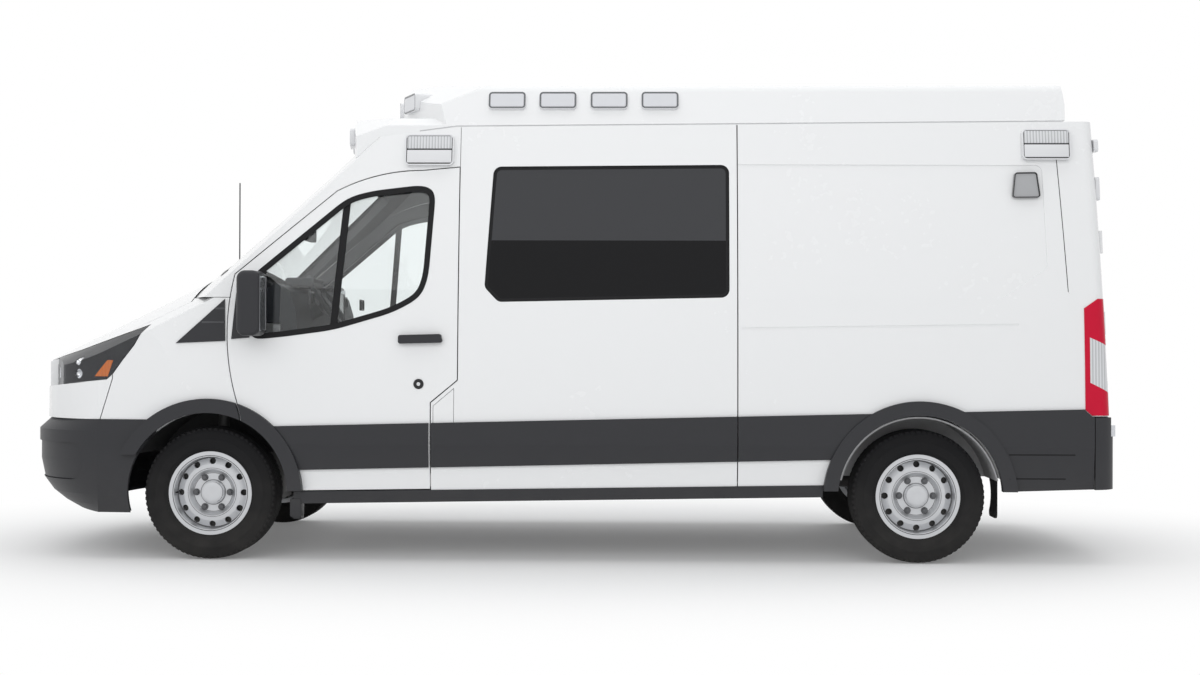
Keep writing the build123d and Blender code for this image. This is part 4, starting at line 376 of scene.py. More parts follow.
LAMP_LENS = Finish("lamp_lens", (0.66, 0.67, 0.70), 0.16, metallic=0.1, coat=0.8, amount=0.05,
                   grain=Grain.NONE)
RIBBED_LENS = Finish("ribbed_lens", (0.74, 0.75, 0.77), 0.16, coat=0.8, amount=0.05, ribs=0.016)
LAMP_BEZEL = Finish("lamp_bezel", (0.16, 0.165, 0.175), 0.22, metallic=0.6, coat=0.3, amount=0.05,
                    grain=Grain.NONE)
LAMP_SHELL = Finish("lamp_shell", (0.74, 0.745, 0.76), 0.30, coat=0.4, amount=0.02, grain=Grain.PEEL)
LAMP_BLACK = Finish("lamp_black", (0.020, 0.020, 0.022), 0.20, coat=0.5, amount=0.1, grain=Grain.NONE)
LAMP_DARK = Finish("lamp_dark", (0.036, 0.037, 0.040), 0.32, amount=0.35, grain=Grain.NONE)
SCOOP_GREY = Finish("scoop_grey", (0.40, 0.405, 0.415), 0.45, amount=0.08)
SAIL_RIB = Finish("sail_rib", (0.060, 0.061, 0.066), 0.40, amount=0.10)
AMBER = Finish("amber_lens", (0.72, 0.20, 0.05), 0.20, coat=0.3, amount=0.05, ribs=0.008)
RED_LENS = Finish("red_lens", (0.60, 0.006, 0.036), 0.20, specular=0.2, amount=0.06, grain=Grain.NONE)
MIRROR_FACE = Finish("mirror_face", (0.34, 0.35, 0.37), 0.02, metallic=1.0, amount=0.0, grain=Grain.NONE)
SEAT_CLOTH = Finish("seat_cloth", (0.045, 0.046, 0.051), 0.85, amount=0.15, sheen=0.3, weave=0.005)

FINISHED_NODES: tuple[tuple[Finish, str], ...] = (
    (PAINT, "roof_cap bonnet front_fenders front_fascia left_mid_panel right_sliding_door quarter_panels "
            "rear_frame left_rear_door right_rear_door"),
    (LINED_PAINT, "cab_frame left_door right_door"),
    (DARK_CLADDING, "body_mouldings sill_boards left_door_trim right_door_trim front_bumper rear_bumper"),
    (BLACK_PLASTIC, "grille fuel_tank cab_mirror aerial"),
    (WHEEL_HOUSE, "wheel_houses"),
    (BARE_METAL, "floor_pan exhaust"),
    (RUBBER_SEAL, "mud_flaps"),
    (BLACK_STEEL, "chassis_rails front_subframe rear_axle leaf_springs"),
    (CAST_STEEL, "left_knuckle right_knuckle engine_block"),
    (DASH_PLASTIC, "dashboard steering_wheel"),
    (SEAT_CLOTH, "seats"),
    (CLEAR_GLASS, "windscreen left_door_glass right_door_glass"),
    (PRIVACY_GLASS, "side_glass left_rear_glass right_rear_glass"),
    (LAMP_COVER, "headlamps"),
    (RED_LENS, "tail_lamps"),
    (LAMP_LENS, "warning_lamps scene_lamps"),
    (SILVER_STEEL, "front_left_rim front_right_rim rear_left_rim rear_right_rim"),
    (TYRE_RUBBER, "front_left_tyre front_right_tyre rear_left_tyre rear_right_tyre"),
)
NODE_FINISHES = {node: finish for finish, nodes in FINISHED_NODES for node in nodes.split()}


class Bench:
    """Workbench: modelling steps with Blender's operators on one piece at a time."""

    @staticmethod
    def clear() -> None:
        """Deselect every object."""
        bpy.ops.object.select_all(action="DESELECT")

    @staticmethod
    def only(piece: Piece) -> Piece:
        """Make one object the selected and active one."""
        Bench.clear()
        piece.select_set(True)
        bpy.context.view_layer.objects.active = piece
        return piece

    @staticmethod
    @contextmanager
    def editing(piece: Piece) -> Iterator[None]:
        """Work on a piece in edit mode."""
        Bench.only(piece)
        bpy.ops.object.mode_set(mode="EDIT")
        try:
            yield
        finally:
            bpy.ops.object.mode_set(mode="OBJECT")

    @staticmethod
    def pick_faces(piece: Piece, test: Callable[[Vector, Vector], bool]) -> None:
        """Select, in edit mode, the faces whose centre and normal pass a test.

        Args:
            piece: object in edit mode.
            test: takes a face's centre and normal.
        """
        bpy.ops.mesh.select_mode(type="FACE")
        bpy.ops.mesh.select_all(action="DESELECT")
        mesh = bmesh.from_edit_mesh(piece.data)
        for face in mesh.faces:
            if test(face.calc_center_median(), face.normal):
                face.select_set(True)
        bmesh.update_edit_mesh(piece.data)

    @staticmethod
    def take_all(mode: str = "") -> None:
        """In edit mode, select everything, in a select mode where one is named."""
        if mode:
            bpy.ops.mesh.select_mode(type=mode)
        bpy.ops.mesh.select_all(action="SELECT")

    @staticmethod
    def sunk(piece: Piece, way: Point, *steps: Pair, limit: float = 0.9, both: bool = False) -> Piece:
        """Inset, in steps, the faces of a piece that look a way.

        Args:
            piece: piece to work on.
            way: direction that the faces look.
            steps: thickness and depth of each inset.
            limit: least share of the normal along the way.
            both: whether faces that look the other way are taken too.

        Returns:
            The piece.
        """
        axis = Vector(way)
        with Bench.editing(piece):
            Bench.pick_faces(piece, lambda _, normal: (
                abs(normal.dot(axis)) if both else normal.dot(axis)) > limit)
            for thickness, depth in steps:
                bpy.ops.mesh.inset(thickness=thickness, depth=depth)
        return piece

    @staticmethod
    def box(name: str, low: Point, high: Point, bevel: float = 0.0, segments: int = 3) -> Piece:
        """Cube between two corners, with bevelled edges.

        Args:
            name: name of the piece.
            low: lowest corner.
            high: highest corner.
            bevel: width of the bevel.
            segments: segments of the bevel.

        Returns:
            The piece.
        """
        Bench.clear()
        middle = [(a + b) / 2 for a, b in zip(low, high)]
        bpy.ops.mesh.primitive_cube_add(size=1.0, location=middle)
        piece = bpy.context.active_object
        piece.name = name
        piece.scale = [b - a for a, b in zip(low, high)]
        Bench.settle(piece)
        if bevel:
            with Bench.editing(piece):
                Bench.take_all()
                bpy.ops.mesh.bevel(offset=bevel, segments=segments, affect="EDGES")
        return piece

    @staticmethod
    def rod(name: str, centre: Point, radius: float, depth: float, axis: Point, sides: int = 24,
            bevel: float = 0.0) -> Piece:
        """Cylinder about an axis, with bevelled rims.

        Args:
            name: name of the piece.
            centre: middle of the cylinder.
            radius: its radius.
            depth: its length.
            axis: direction of its axis.
            sides: number of sides.
            bevel: width of the bevel.

        Returns:
            The piece.
        """
        Bench.clear()
        turn = Vector((0, 0, 1)).rotation_difference(Vector(axis)).to_euler()
        bpy.ops.mesh.primitive_cylinder_add(vertices=sides, radius=radius, depth=depth, location=centre,
                                            rotation=turn)
        piece = bpy.context.active_object
        piece.name = name
        Bench.settle(piece)
        if bevel:
            direction = Vector(axis).normalized()
            with Bench.editing(piece):
                Bench.pick_faces(piece, lambda _, normal: abs(normal.dot(direction)) > 0.9)
                bpy.ops.mesh.bevel(offset=bevel, segments=2, affect="EDGES")
        return piece

    @staticmethod
    def chain(name: str, points: Sequence[Point]) -> Piece:
        """Open line of points, drawn by extruding one vertex along.

        Args:
            name: name of the piece.
            points: places along the line.

        Returns:
            The piece, a mesh of edges.
        """
        Bench.clear()
        bpy.ops.mesh.primitive_plane_add(size=0.01, location=points[0])
        piece = bpy.context.active_object
        piece.name = name
        Bench.settle(piece)
        with Bench.editing(piece):
            Bench.take_all("VERT")
            bpy.ops.mesh.merge(type="CENTER")
            for here, there in zip(points, points[1:]):
                step = [b - a for a, b in zip(here, there)]
                bpy.ops.mesh.extrude_vertices_move(TRANSFORM_OT_translate={"value": step})
        return piece

    @staticmethod
    def lathe(name: str, profile: Sequence[Pair], centre: Point, steps: int) -> Piece:
        """Body of revolution about a line across the van.

        Args:
            name: name of the piece.
            profile: closed section, as distance along +Y from the centre and radius.
            centre: a point on the axis.
            steps: segments round the axis.

        Returns:
            The piece.
        """
        outline = [*profile, profile[0]]
        points = [(centre[0], centre[1] + across, centre[2] + radius) for across, radius in outline]
        piece = Bench.chain(name, points)
        with Bench.editing(piece):
            Bench.take_all("VERT")
            bpy.ops.mesh.remove_doubles(threshold=MERGE)
            Bench.take_all()
            bpy.ops.mesh.spin(steps=steps, angle=2 * pi, center=centre, axis=(0, 1, 0))
            Bench.mend()
        return piece

    @staticmethod
    def mend() -> None:
        """In edit mode, merge doubles and turn every face outwards."""
        Bench.take_all()
        bpy.ops.mesh.remove_doubles(threshold=MERGE)
        Bench.take_all()
        bpy.ops.mesh.normals_make_consistent(inside=False)

    @staticmethod
    def settle(piece: Piece) -> Piece:
        """Put a piece's place, turn and size into its mesh."""
        Bench.only(piece)
        bpy.ops.object.transform_apply(location=True, rotation=True, scale=True)
        return piece

    @staticmethod
    def copy_of(piece: Piece, name: str) -> Piece:
        """Copy of an object with a mesh of its own.

        Args:
            piece: object to copy.
            name: name of the copy.

        Returns:
            The copy, bound to nothing.
        """
        copy = bpy.data.objects.new(name, piece.data.copy())
        copy.data.materials.clear()
        bpy.context.scene.collection.objects.link(copy)
        return copy

    @staticmethod
    def copies(piece: Piece, places: Sequence[Matrix]) -> list[Piece]:
        """Copies of a piece, one at each place; the piece itself is taken away."""
        made = [Bench.moved(Bench.copy_of(piece, piece.name), place) for place in places]
        bpy.data.objects.remove(piece)
        return made

    @staticmethod
    def node_copy(node: str, name: str) -> Piece:
        """Copy of a CAD node with its doubles merged and its flat faces joined."""
        copy = Bench.copy_of(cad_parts[node], name)
        Bench.only(copy)
        bpy.ops.mesh.customdata_custom_splitnormals_clear()
        with Bench.editing(copy):
            Bench.take_all()
            bpy.ops.mesh.remove_doubles(threshold=MERGE)
            Bench.take_all()
            bpy.ops.mesh.dissolve_limited(angle_limit=radians(1.0))
        return copy

    @staticmethod
    def moved(piece: Piece, matrix: Matrix) -> Piece:
        """Move a piece by a matrix, and turn its faces outwards again where it mirrors."""
        piece.data.transform(matrix)
        if matrix.determinant() < 0:
            piece.data.flip_normals()
        return piece

    @staticmethod
    def join(pieces: Sequence[Piece], name: str) -> Piece:
        """Join pieces into one mesh.

        Args:
            pieces: objects to join.
            name: name of the result.

        Returns:
            The joined piece.
        """
        Bench.only(pieces[0])
        for piece in pieces:
            piece.select_set(True)
        if len(pieces) > 1:
            bpy.ops.object.join()
        pieces[0].name = name
        return pieces[0]

    @staticmethod
    def loose(piece: Piece) -> list[Piece]:
        """Split a piece into its separate solids."""
        with Bench.editing(piece):
            Bench.take_all()
            bpy.ops.mesh.separate(type="LOOSE")
        return list(bpy.context.selected_objects)

    @staticmethod
    def middle(piece: Piece) -> Vector:
        """Centre of a piece's box."""
        corners = [Vector(corner) for corner in piece.bound_box]
        return sum(corners, Vector()) / len(corners)

    @staticmethod
    def shaped(piece: Piece, move: Callable[[Vector], Vector]) -> Piece:
        """Move every vertex of a piece to where a function sends it."""
        for vertex in piece.data.vertices:
            vertex.co = move(vertex.co)
        piece.data.update()
        return piece

    @staticmethod
    def fattened(piece: Piece, distance: float) -> Piece:
        """Move every vertex of a piece along its normal."""
        shifts = [vertex.normal * distance for vertex in piece.data.vertices]
        for vertex, shift in zip(piece.data.vertices, shifts):
            vertex.co += shift
        piece.data.update()
        return piece

    @staticmethod
    def hit(piece: Piece, start: Point, direction: Point) -> tuple[Vector, Vector]:
        """Place and normal where a ray first meets a piece.

        Args:
            piece: the object that is looked at.
            start: where the ray starts.
            direction: where it goes.

        Returns:
            The place and the normal there; the start and the ray turned back where it meets nothing.
        """
        inverse = piece.matrix_world.inverted()
        way = inverse.to_3x3() @ Vector(direction)
        met, place, normal, _ = piece.ray_cast(inverse @ Vector(start), way)
        if not met:
            return Vector(start), -Vector(direction)
        return piece.matrix_world @ place, piece.matrix_world.to_3x3() @ normal

    @staticmethod
    def laid(piece: Piece, node: str, side: Side, taper: Callable[[float], float] = lambda _: 1.0) -> Piece:
        """Lay a strip on the side of a CAD node.

        Args:
            piece: strip whose y is its height over the surface.
            node: CAD node that carries it.
            side: side of the van.
            taper: takes x and gives the share of the height that is kept there.

        Returns:
            The piece.
        """
        out = side.value

        def on_skin(at: Vector) -> Vector:
            """Place of the strip's point on the surface."""
            place, _ = Bench.hit(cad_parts[node], (at.x, out * OUTSIDE_Y, at.z), (0, -out, 0))
            return Vector((at.x, place.y + out * at.y * taper(at.x), at.z))

        Bench.shaped(piece, on_skin)
        if side is Side.RIGHT:
            piece.data.flip_normals()
        return piece

    @staticmethod
    def strip(name: str, low: Point, high: Point, cuts: int, bevel: float = 0.002) -> Piece:
        """Bevelled box with extra cuts, to be shaped to a curved surface.

        Args:
            name: name of the piece.
            low: lowest corner.
            high: highest corner.
            cuts: cuts of each edge.
            bevel: width of the bevel.

        Returns:
            The piece.
        """
        piece = Bench.box(name, low, high)
        with Bench.editing(piece):
            Bench.take_all()
            bpy.ops.mesh.bevel(offset=bevel, segments=1, affect="EDGES")
            Bench.take_all()
            bpy.ops.mesh.subdivide(number_cuts=cuts)
        return piece

    @staticmethod
    def plate(name: str, size: Pair, corner: float, thick: float, place: Matrix) -> Piece:
        """Flat plate with round corners.

        Args:
            name: name of the piece.
            size: its width and height.
            corner: size of the round corners.
            thick: its thickness along its own z.
            place: where it goes.

        Returns:
            The piece.
        """
        Bench.clear()
        bpy.ops.mesh.primitive_plane_add(size=1.0)
        piece = bpy.context.active_object
        piece.name = name
        piece.scale = (*size, 1.0)
        Bench.settle(piece)
        with Bench.editing(piece):
            Bench.take_all()
            bpy.ops.mesh.bevel(offset=corner, segments=4, affect="VERTICES")
            Bench.take_all()
            bpy.ops.mesh.extrude_region_move(TRANSFORM_OT_translate={"value": (0, 0, thick)})
            Bench.mend()
        return Bench.moved(piece, place)

    @staticmethod
    def modify(piece: Piece, kind: str, **values: object) -> Piece:
        """Add a modifier with these values and apply it."""
        Bench.only(piece)
        modifier = piece.modifiers.new(kind.lower(), kind)
        for name, value in values.items():
            setattr(modifier, name, value)
        bpy.ops.object.modifier_apply(modifier=modifier.name)
        return piece

    @staticmethod
    def dress(piece: Piece, body: str, slot: str, *finishes: Finish) -> Piece:
        """Give a piece its finishes, smooth it and let it ride on a body.

        Args:
            piece: the finished mesh.
            body: CAD body that carries it.
            slot: name of a material slot, not used.
            finishes: materials by slot index.

        Returns:
            The piece.
        """
        kept = [polygon.material_index for polygon in piece.data.polygons]
        piece.data.materials.clear()
        for finish in finishes:
            piece.data.materials.append(finish.build())
        for polygon, index in zip(piece.data.polygons, kept):
            polygon.material_index = min(index, len(finishes) - 1)
        Bench.only(piece)
        bpy.ops.object.shade_smooth_by_angle(angle=SMOOTH_ANGLE)
        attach(piece, body)
        LOG.info("%s rides on %s, %d faces", piece.name, body, len(piece.data.polygons))
        return piece

    @staticmethod
    def mark(piece: Piece, index: int) -> None:
        """In edit mode, give the picked faces a material index."""
        mesh = bmesh.from_edit_mesh(piece.data)
        for face in mesh.faces:
            if face.select:
                face.material_index = index
        bmesh.update_edit_mesh(piece.data)


MIRROR_Y = Matrix.Scale(-1.0, 4, (0, 1, 0))


class NodeDresser:
    """Gives every CAD node its finish."""

    def dress(self) -> None:
        """Assign each node's material."""
        for name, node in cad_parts.items():
            node.data.materials.clear()
            node.data.materials.append(NODE_FINISHES[name].build())
        LOG.info("%d nodes have their finish", len(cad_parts))


@dataclass
class Wheel:
    """Tyre with its tread, and the nuts, cap and valve on the steel rim."""

    corner: str
    side: Side
    radius: float = 0.352
    half_width: float = 0.1175
    rim_radius: float = 0.2223
    groove: float = 0.008
    lugs: int = 72
    nut_ring: float = 0.090
    nuts: int = 6
    hub_face: float = 0.030
    # Radius, face and half width of each dark ring that paints the shade of a groove in the disc
    grooves: tuple[tuple[float, float, float], ...] = (
        (0.1865, 0.0385, 0.0030), (0.2000, 0.0950, 0.0020), (0.1300, 0.0515, 0.0012),
        (0.1030, 0.0300, 0.0014), (0.0655, 0.0305, 0.0022))
    drum: tuple[Pair, ...] = ((0.006, 0.146), (0.014, 0.148), (0.014, 0.182), (0.006, 0.184))

    @property
    def body(self) -> str:
        """Body that the wheel belongs to."""
        return f"{self.corner}_wheel"

    @property
    def centre(self) -> Vector:
        """Centre of the wheel, from its tyre's box."""
        low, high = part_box(f"{self.corner}_tyre")
        return (low + high) / 2

    def build(self) -> None:
        """Make the tyre and the rim's fittings."""
        self._tyre()
        self._fittings()

    def _tyre(self) -> None:
        """Spin the tyre from its section, with grooves round the tread and shoulder lugs."""
        half, outer, inner = self.half_width, self.radius - 0.0005, self.rim_radius
        wall = [
            (half - 0.026, inner), (half - 0.012, inner + 0.016), (half - 0.006, inner + 0.022),
            (half - 0.0015, inner + 0.052), (half - 0.0005, inner + 0.060), (half - 0.0005, inner + 0.066),
            (half - 0.003, inner + 0.070), (half - 0.008, outer - 0.030), (half - 0.018, outer - 0.013),
        ]
        right = wall + [(half - 0.030, outer - 0.004)]
        for middle in (0.052, 0.018):
            right += [(middle + 0.007, outer), (middle + 0.005, outer - self.groove),
                      (middle - 0.005, outer - self.groove), (middle - 0.007, outer)]
        left = [(-across, radius) for across, radius in reversed(right)]
        name = f"{self.corner}_road_tyre"
        tyre = Bench.lathe(name, right + left, tuple(self.centre), 96)
        lug = Bench.box("lug", (-0.009, half - 0.038, outer - 0.022), (0.009, half - 0.0160, outer - 0.0045),
                        0.002, 1)
        turns = []
        for index in range(self.lugs):
            for shift, flip in ((0.0, Matrix.Identity(4)), (0.5, MIRROR_Y)):
                turn = Matrix.Rotation(2 * pi * (index + shift) / self.lugs, 4, "Y")
                turns.append(Matrix.Translation(self.centre) @ turn @ flip)
        tyre = Bench.join([tyre] + Bench.copies(lug, turns), name)
        Bench.dress(tyre, self.body, "tyre_rubber", TYRE_RUBBER)
        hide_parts(f"{self.corner}_tyre")

    def _on_axle(self, name: str, ahead: float, proud: float, radius: float, depth: float, sides: int,
                 bevel: float, lean: float = 0.0) -> Piece:
        """Rod on the outer face of the disc.

        Args:
            name: name of the piece.
            ahead: its distance from the axle along x.
            proud: how far its middle stands out from the hub's face.
            radius: its radius.
            depth: its length.
            sides: number of sides.
            bevel: width of the bevel.
            lean: slope of its axis along x.

        Returns:
            The piece.
        """
        out = self.side.value
        place = self.centre + Vector((ahead, out * (self.hub_face + proud), 0))
        return Bench.rod(name, tuple(place), radius, depth, (lean, out, 0), sides, bevel)

    def _fittings(self) -> None:
        """Lug nuts, centre cap and valve, on the outer face of the disc."""
        out = self.side.value
        angles = [2 * pi * index / self.nuts for index in range(self.nuts)]
        ring = [Matrix.Translation((self.nut_ring * cos(angle), 0, self.nut_ring * sin(angle)))
                for angle in angles]
        nuts = Bench.copies(self._on_axle("nut", 0, 0.010, 0.0150, 0.026, 6, 0.003), ring)
        nuts += Bench.copies(self._on_axle("washer", 0, 0.001, 0.0185, 0.005, 20, 0.001), ring)
        Bench.dress(Bench.join(nuts, f"{self.corner}_lug_nuts"), self.body, "silver_steel", NUT_STEEL)
        cap = self._on_axle(f"{self.corner}_centre_cap", 0, 0.018, 0.057, 0.022, 40, 0.006)
        with Bench.editing(cap):
            Bench.pick_faces(cap, lambda _, normal: normal.y * out > 0.95)
            for ring_width, rise in ((0.010, 0.004), (0.020, -0.003)):
                bpy.ops.mesh.inset(thickness=ring_width)
                bpy.ops.transform.translate(value=(0, out * rise, 0))
        Bench.dress(cap, self.body, "silver_steel", SILVER_STEEL)
        self._rings(out)
        valve = self._on_axle(f"{self.corner}_valve", 0.192, 0.030, 0.004, 0.034, 12, 0.001, 0.35)
        Bench.dress(valve, self.body, "black_plastic", BLACK_PLASTIC)

    def _rings(self, out: int) -> None:
        """Dark rings laid on the disc where its grooves are, as painted shade of the grooves, and the brake
        drum's rim behind its holes.
        """
        grooves = []
        for radius, face, half in self.grooves:
            profile = [(out * (face + 0.0008), radius - half), (out * (face + 0.0014), radius),
                       (out * (face + 0.0008), radius + half), (out * (face - 0.003), radius)]
            grooves.append(Bench.lathe("groove", profile, tuple(self.centre), 64))
        Bench.dress(Bench.join(grooves, f"{self.corner}_rim_grooves"), self.body, "silver_steel", RIM_SHADE)
        profile = [(out * across, radius) for across, radius in self.drum]
        drum = Bench.lathe(f"{self.corner}_drum_rim", profile, tuple(self.centre), 48)
        Bench.dress(drum, self.body, "cast_steel", BLACK_STEEL)


@dataclass
class RoofLamps:
    """Warning lamps, scene lamps, vent scoops and bumper pods, each modelled from its CAD solid."""

    bezel: float = 0.008
    scene_bezel: float = 0.006
    lens_gap: float = 0.010
    pod_top: float = 1.0
    scoop_top: float = 2.08
    brow: Pair = (0.80, 2.2)
    rear_x: float = -2.70
    crown: Pair = (0.35, 2.42)

    def build(self) -> None:
        """Model every lamp."""
        self._warning()
        for solid in Bench.loose(Bench.node_copy("scene_lamps", "scene_lamp")):
            place = Bench.middle(solid)
            side = Side.LEFT if place.y > 0 else Side.RIGHT
            end = "front" if place.x > 0 else "rear"
            if place.z < self.pod_top:
                self._finish(solid, f"{side.word}_bumper_pod", LAMP_LENS)
            elif place.z < self.scoop_top:
                self._scoop(solid, side)
            else:
                self._scene(solid, side, end)

    def _outward(self, place: Vector) -> Vector:
        """Direction that a lamp at a place faces."""
        if place.x > self.brow[0] and place.z > self.brow[1]:
            return Vector((1, 0, 0))
        if place.x < self.rear_x:
            return Vector((-1, 0, 0))
        return Vector((0, 1 if place.y > 0 else -1, 0))

    @staticmethod
    def _finish(piece: Piece, name: str, *finishes: Finish) -> None:
        """Name a lamp, dress it and let it stand for its CAD solid."""
        piece.name = name
        Bench.dress(piece, "body", "lamp_glass", *finishes)
        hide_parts("scene_lamps")

    def _warning(self) -> None:
        """Inset each warning lamp's face for its dark rim and set the lens in."""
        finishes = (LAMP_SHELL, LAMP_BEZEL, LAMP_LENS)
        solids = Bench.loose(Bench.node_copy("warning_lamps", "warning_lamp"))
        for solid in solids:
            out = self._outward(Bench.middle(solid))
            face = max((polygon for polygon in solid.data.polygons if polygon.normal.dot(out) > 0.60),
                       key=lambda polygon: polygon.area)
            normal = face.normal.copy()
            if face.center.z > self.crown[1] and abs(face.center.y) < self.crown[0]:
                self._plated(solid, normal)
                solid.data.materials.append(LAMP_SHELL.build())
                continue
            with Bench.editing(solid):
                Bench.take_all()
                bpy.ops.mesh.remove_doubles(threshold=0.0008)
                Bench.pick_faces(solid, lambda _, facing: facing.dot(normal) > 0.97)
                bpy.ops.mesh.dissolve_faces()
                Bench.mark(solid, 1)
                bpy.ops.mesh.inset(thickness=self.bezel)
                bpy.ops.mesh.inset(thickness=0.001, depth=-0.001)
                Bench.mark(solid, 2)
                bpy.ops.mesh.inset(thickness=0.003, depth=0.003)
            for finish in finishes:
                solid.data.materials.append(finish.build())
        lamps = Bench.join(solids, "warning_lamp_units")
        Bench.dress(lamps, "body", "lamp_glass", *finishes)
        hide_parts("warning_lamps")

    @staticmethod
    def _plated(solid: Piece, normal: Vector) -> None:
        """Rim and lens laid on the face of a lamp on the crown of the roof's front."""
        low, high = Vector(solid.bound_box[0]), Vector(solid.bound_box[6])
        side = Side.LEFT if low.y > 0 else Side.RIGHT
        across = Vector((0, 1, 0))
        turn = Matrix((across, normal.cross(across), normal)).transposed().to_4x4()
        centre = Vector((high.x, (low.y + high.y) / 2, (low.z + high.z) / 2))
        for part, edge, lift, finish in (("rim", 0.001, 0.0010, LAMP_BEZEL),
                                         ("lens", 0.009, 0.0022, LAMP_LENS)):
            size = (high.y - low.y - 2 * edge, high.z - low.z - 2 * edge)
            place = Matrix.Translation(centre + normal * (lift - 0.002)) @ turn
            plate = Bench.plate(f"{side.word}_crown_lamp_{part}", size, 0.014, 0.002, place)
            Bench.dress(plate, "body", "lamp_glass", finish)

    def _scoop(self, solid: Piece, side: Side) -> None:
        """Sink the face of a vent scoop behind its black bezel."""
        with Bench.editing(solid):
            Bench.pick_faces(solid, lambda _, normal: normal.y * side.value > 0.80)
            bpy.ops.mesh.inset(thickness=0.005)
            bpy.ops.mesh.inset(thickness=0.002, depth=-0.006)
            Bench.mark(solid, 1)
        self._finish(solid, f"{side.word}_vent_scoop", LAMP_BLACK, SCOOP_GREY)

    def _scene(self, solid: Piece, side: Side, end: str) -> None:
        """White scene lamp: a ribbed lens over a white bar, in a sunk dark field."""
        out = side.value
        face = max((polygon for polygon in solid.data.polygons if polygon.normal.y * out > 0.80),
                   key=lambda polygon: polygon.area)
        normal, centre = face.normal.copy(), Bench.middle(solid)
        low, high = Vector(solid.bound_box[0]), Vector(solid.bound_box[6])
        centre += normal * ((face.center - centre).dot(normal))
        across = Vector((out, 0, 0))
        up = across.cross(normal).normalized()
        turn = Matrix((across, normal, up)).transposed().to_4x4()
        place = Matrix.Translation(centre) @ turn
        with Bench.editing(solid):
            Bench.pick_faces(solid, lambda _, facing: facing.y * out > 0.80)
            bpy.ops.mesh.inset(thickness=self.scene_bezel)
            bpy.ops.mesh.inset(thickness=0.001, depth=-0.007)
            Bench.mark(solid, 1)
        self._finish(solid, f"{side.word}_{end}_scene_lamp", LAMP_SHELL, LAMP_BLACK)
        half, rise = (high.x - low.x) / 2 - self.lens_gap, (high.z - low.z) / 2 - self.lens_gap
        lens = Bench.moved(Bench.box("lens", (-half, -0.012, 0.004), (half, -0.001, rise), 0.004, 2), place)
        Bench.dress(lens, "body", "lamp_glass", RIBBED_LENS).name = f"{side.word}_{end}_scene_lens"
        bar = Bench.moved(Bench.box("bar", (-half, -0.012, -rise), (half, -0.001, -0.003), 0.004, 2), place)
        Bench.dress(bar, "body", "lamp_glass", LAMP_SHELL).name = f"{side.word}_{end}_scene_bar"


@dataclass
class TailLamps:
    """Red rear lamps with a clear section between two slanting edges."""

    upper: Point = (-2.770, 0.0, 1.190)
    upper_normal: Point = (0.406, 0.0, -0.914)
    lower: Point = (-2.770, 0.0, 0.950)
    lower_normal: Point = (0.447, 0.0, -0.894)
    strip_x: float = -2.757

    def _clear(self, place: Vector) -> bool:
        """Whether a place is in the clear section."""
        under = (place - Vector(self.upper)).dot(Vector(self.upper_normal)) > 0
        over = (place - Vector(self.lower)).dot(Vector(self.lower_normal)) < 0
        return under and over and place.x < self.strip_x

    def build(self) -> None:
        """Cut the lamps along the section's edges and step the clear part in."""
        lamps = Bench.node_copy("tail_lamps", "tail_lamp_units")
        cuts = ((self.upper, self.upper_normal), (self.lower, self.lower_normal),
                ((self.strip_x, 0.0, 0.0), (1.0, 0.0, 0.0)))
        with Bench.editing(lamps):
            for place, normal in cuts:
                Bench.take_all()
                bpy.ops.mesh.bisect(plane_co=place, plane_no=normal)
            Bench.pick_faces(lamps, lambda place, _: self._clear(place))
            bpy.ops.mesh.inset(thickness=0.0015, depth=-0.001)
            Bench.mark(lamps, 1)
        Bench.dress(lamps, "body", "red_lens", RED_LENS, RIBBED_LENS)
        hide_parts("tail_lamps")


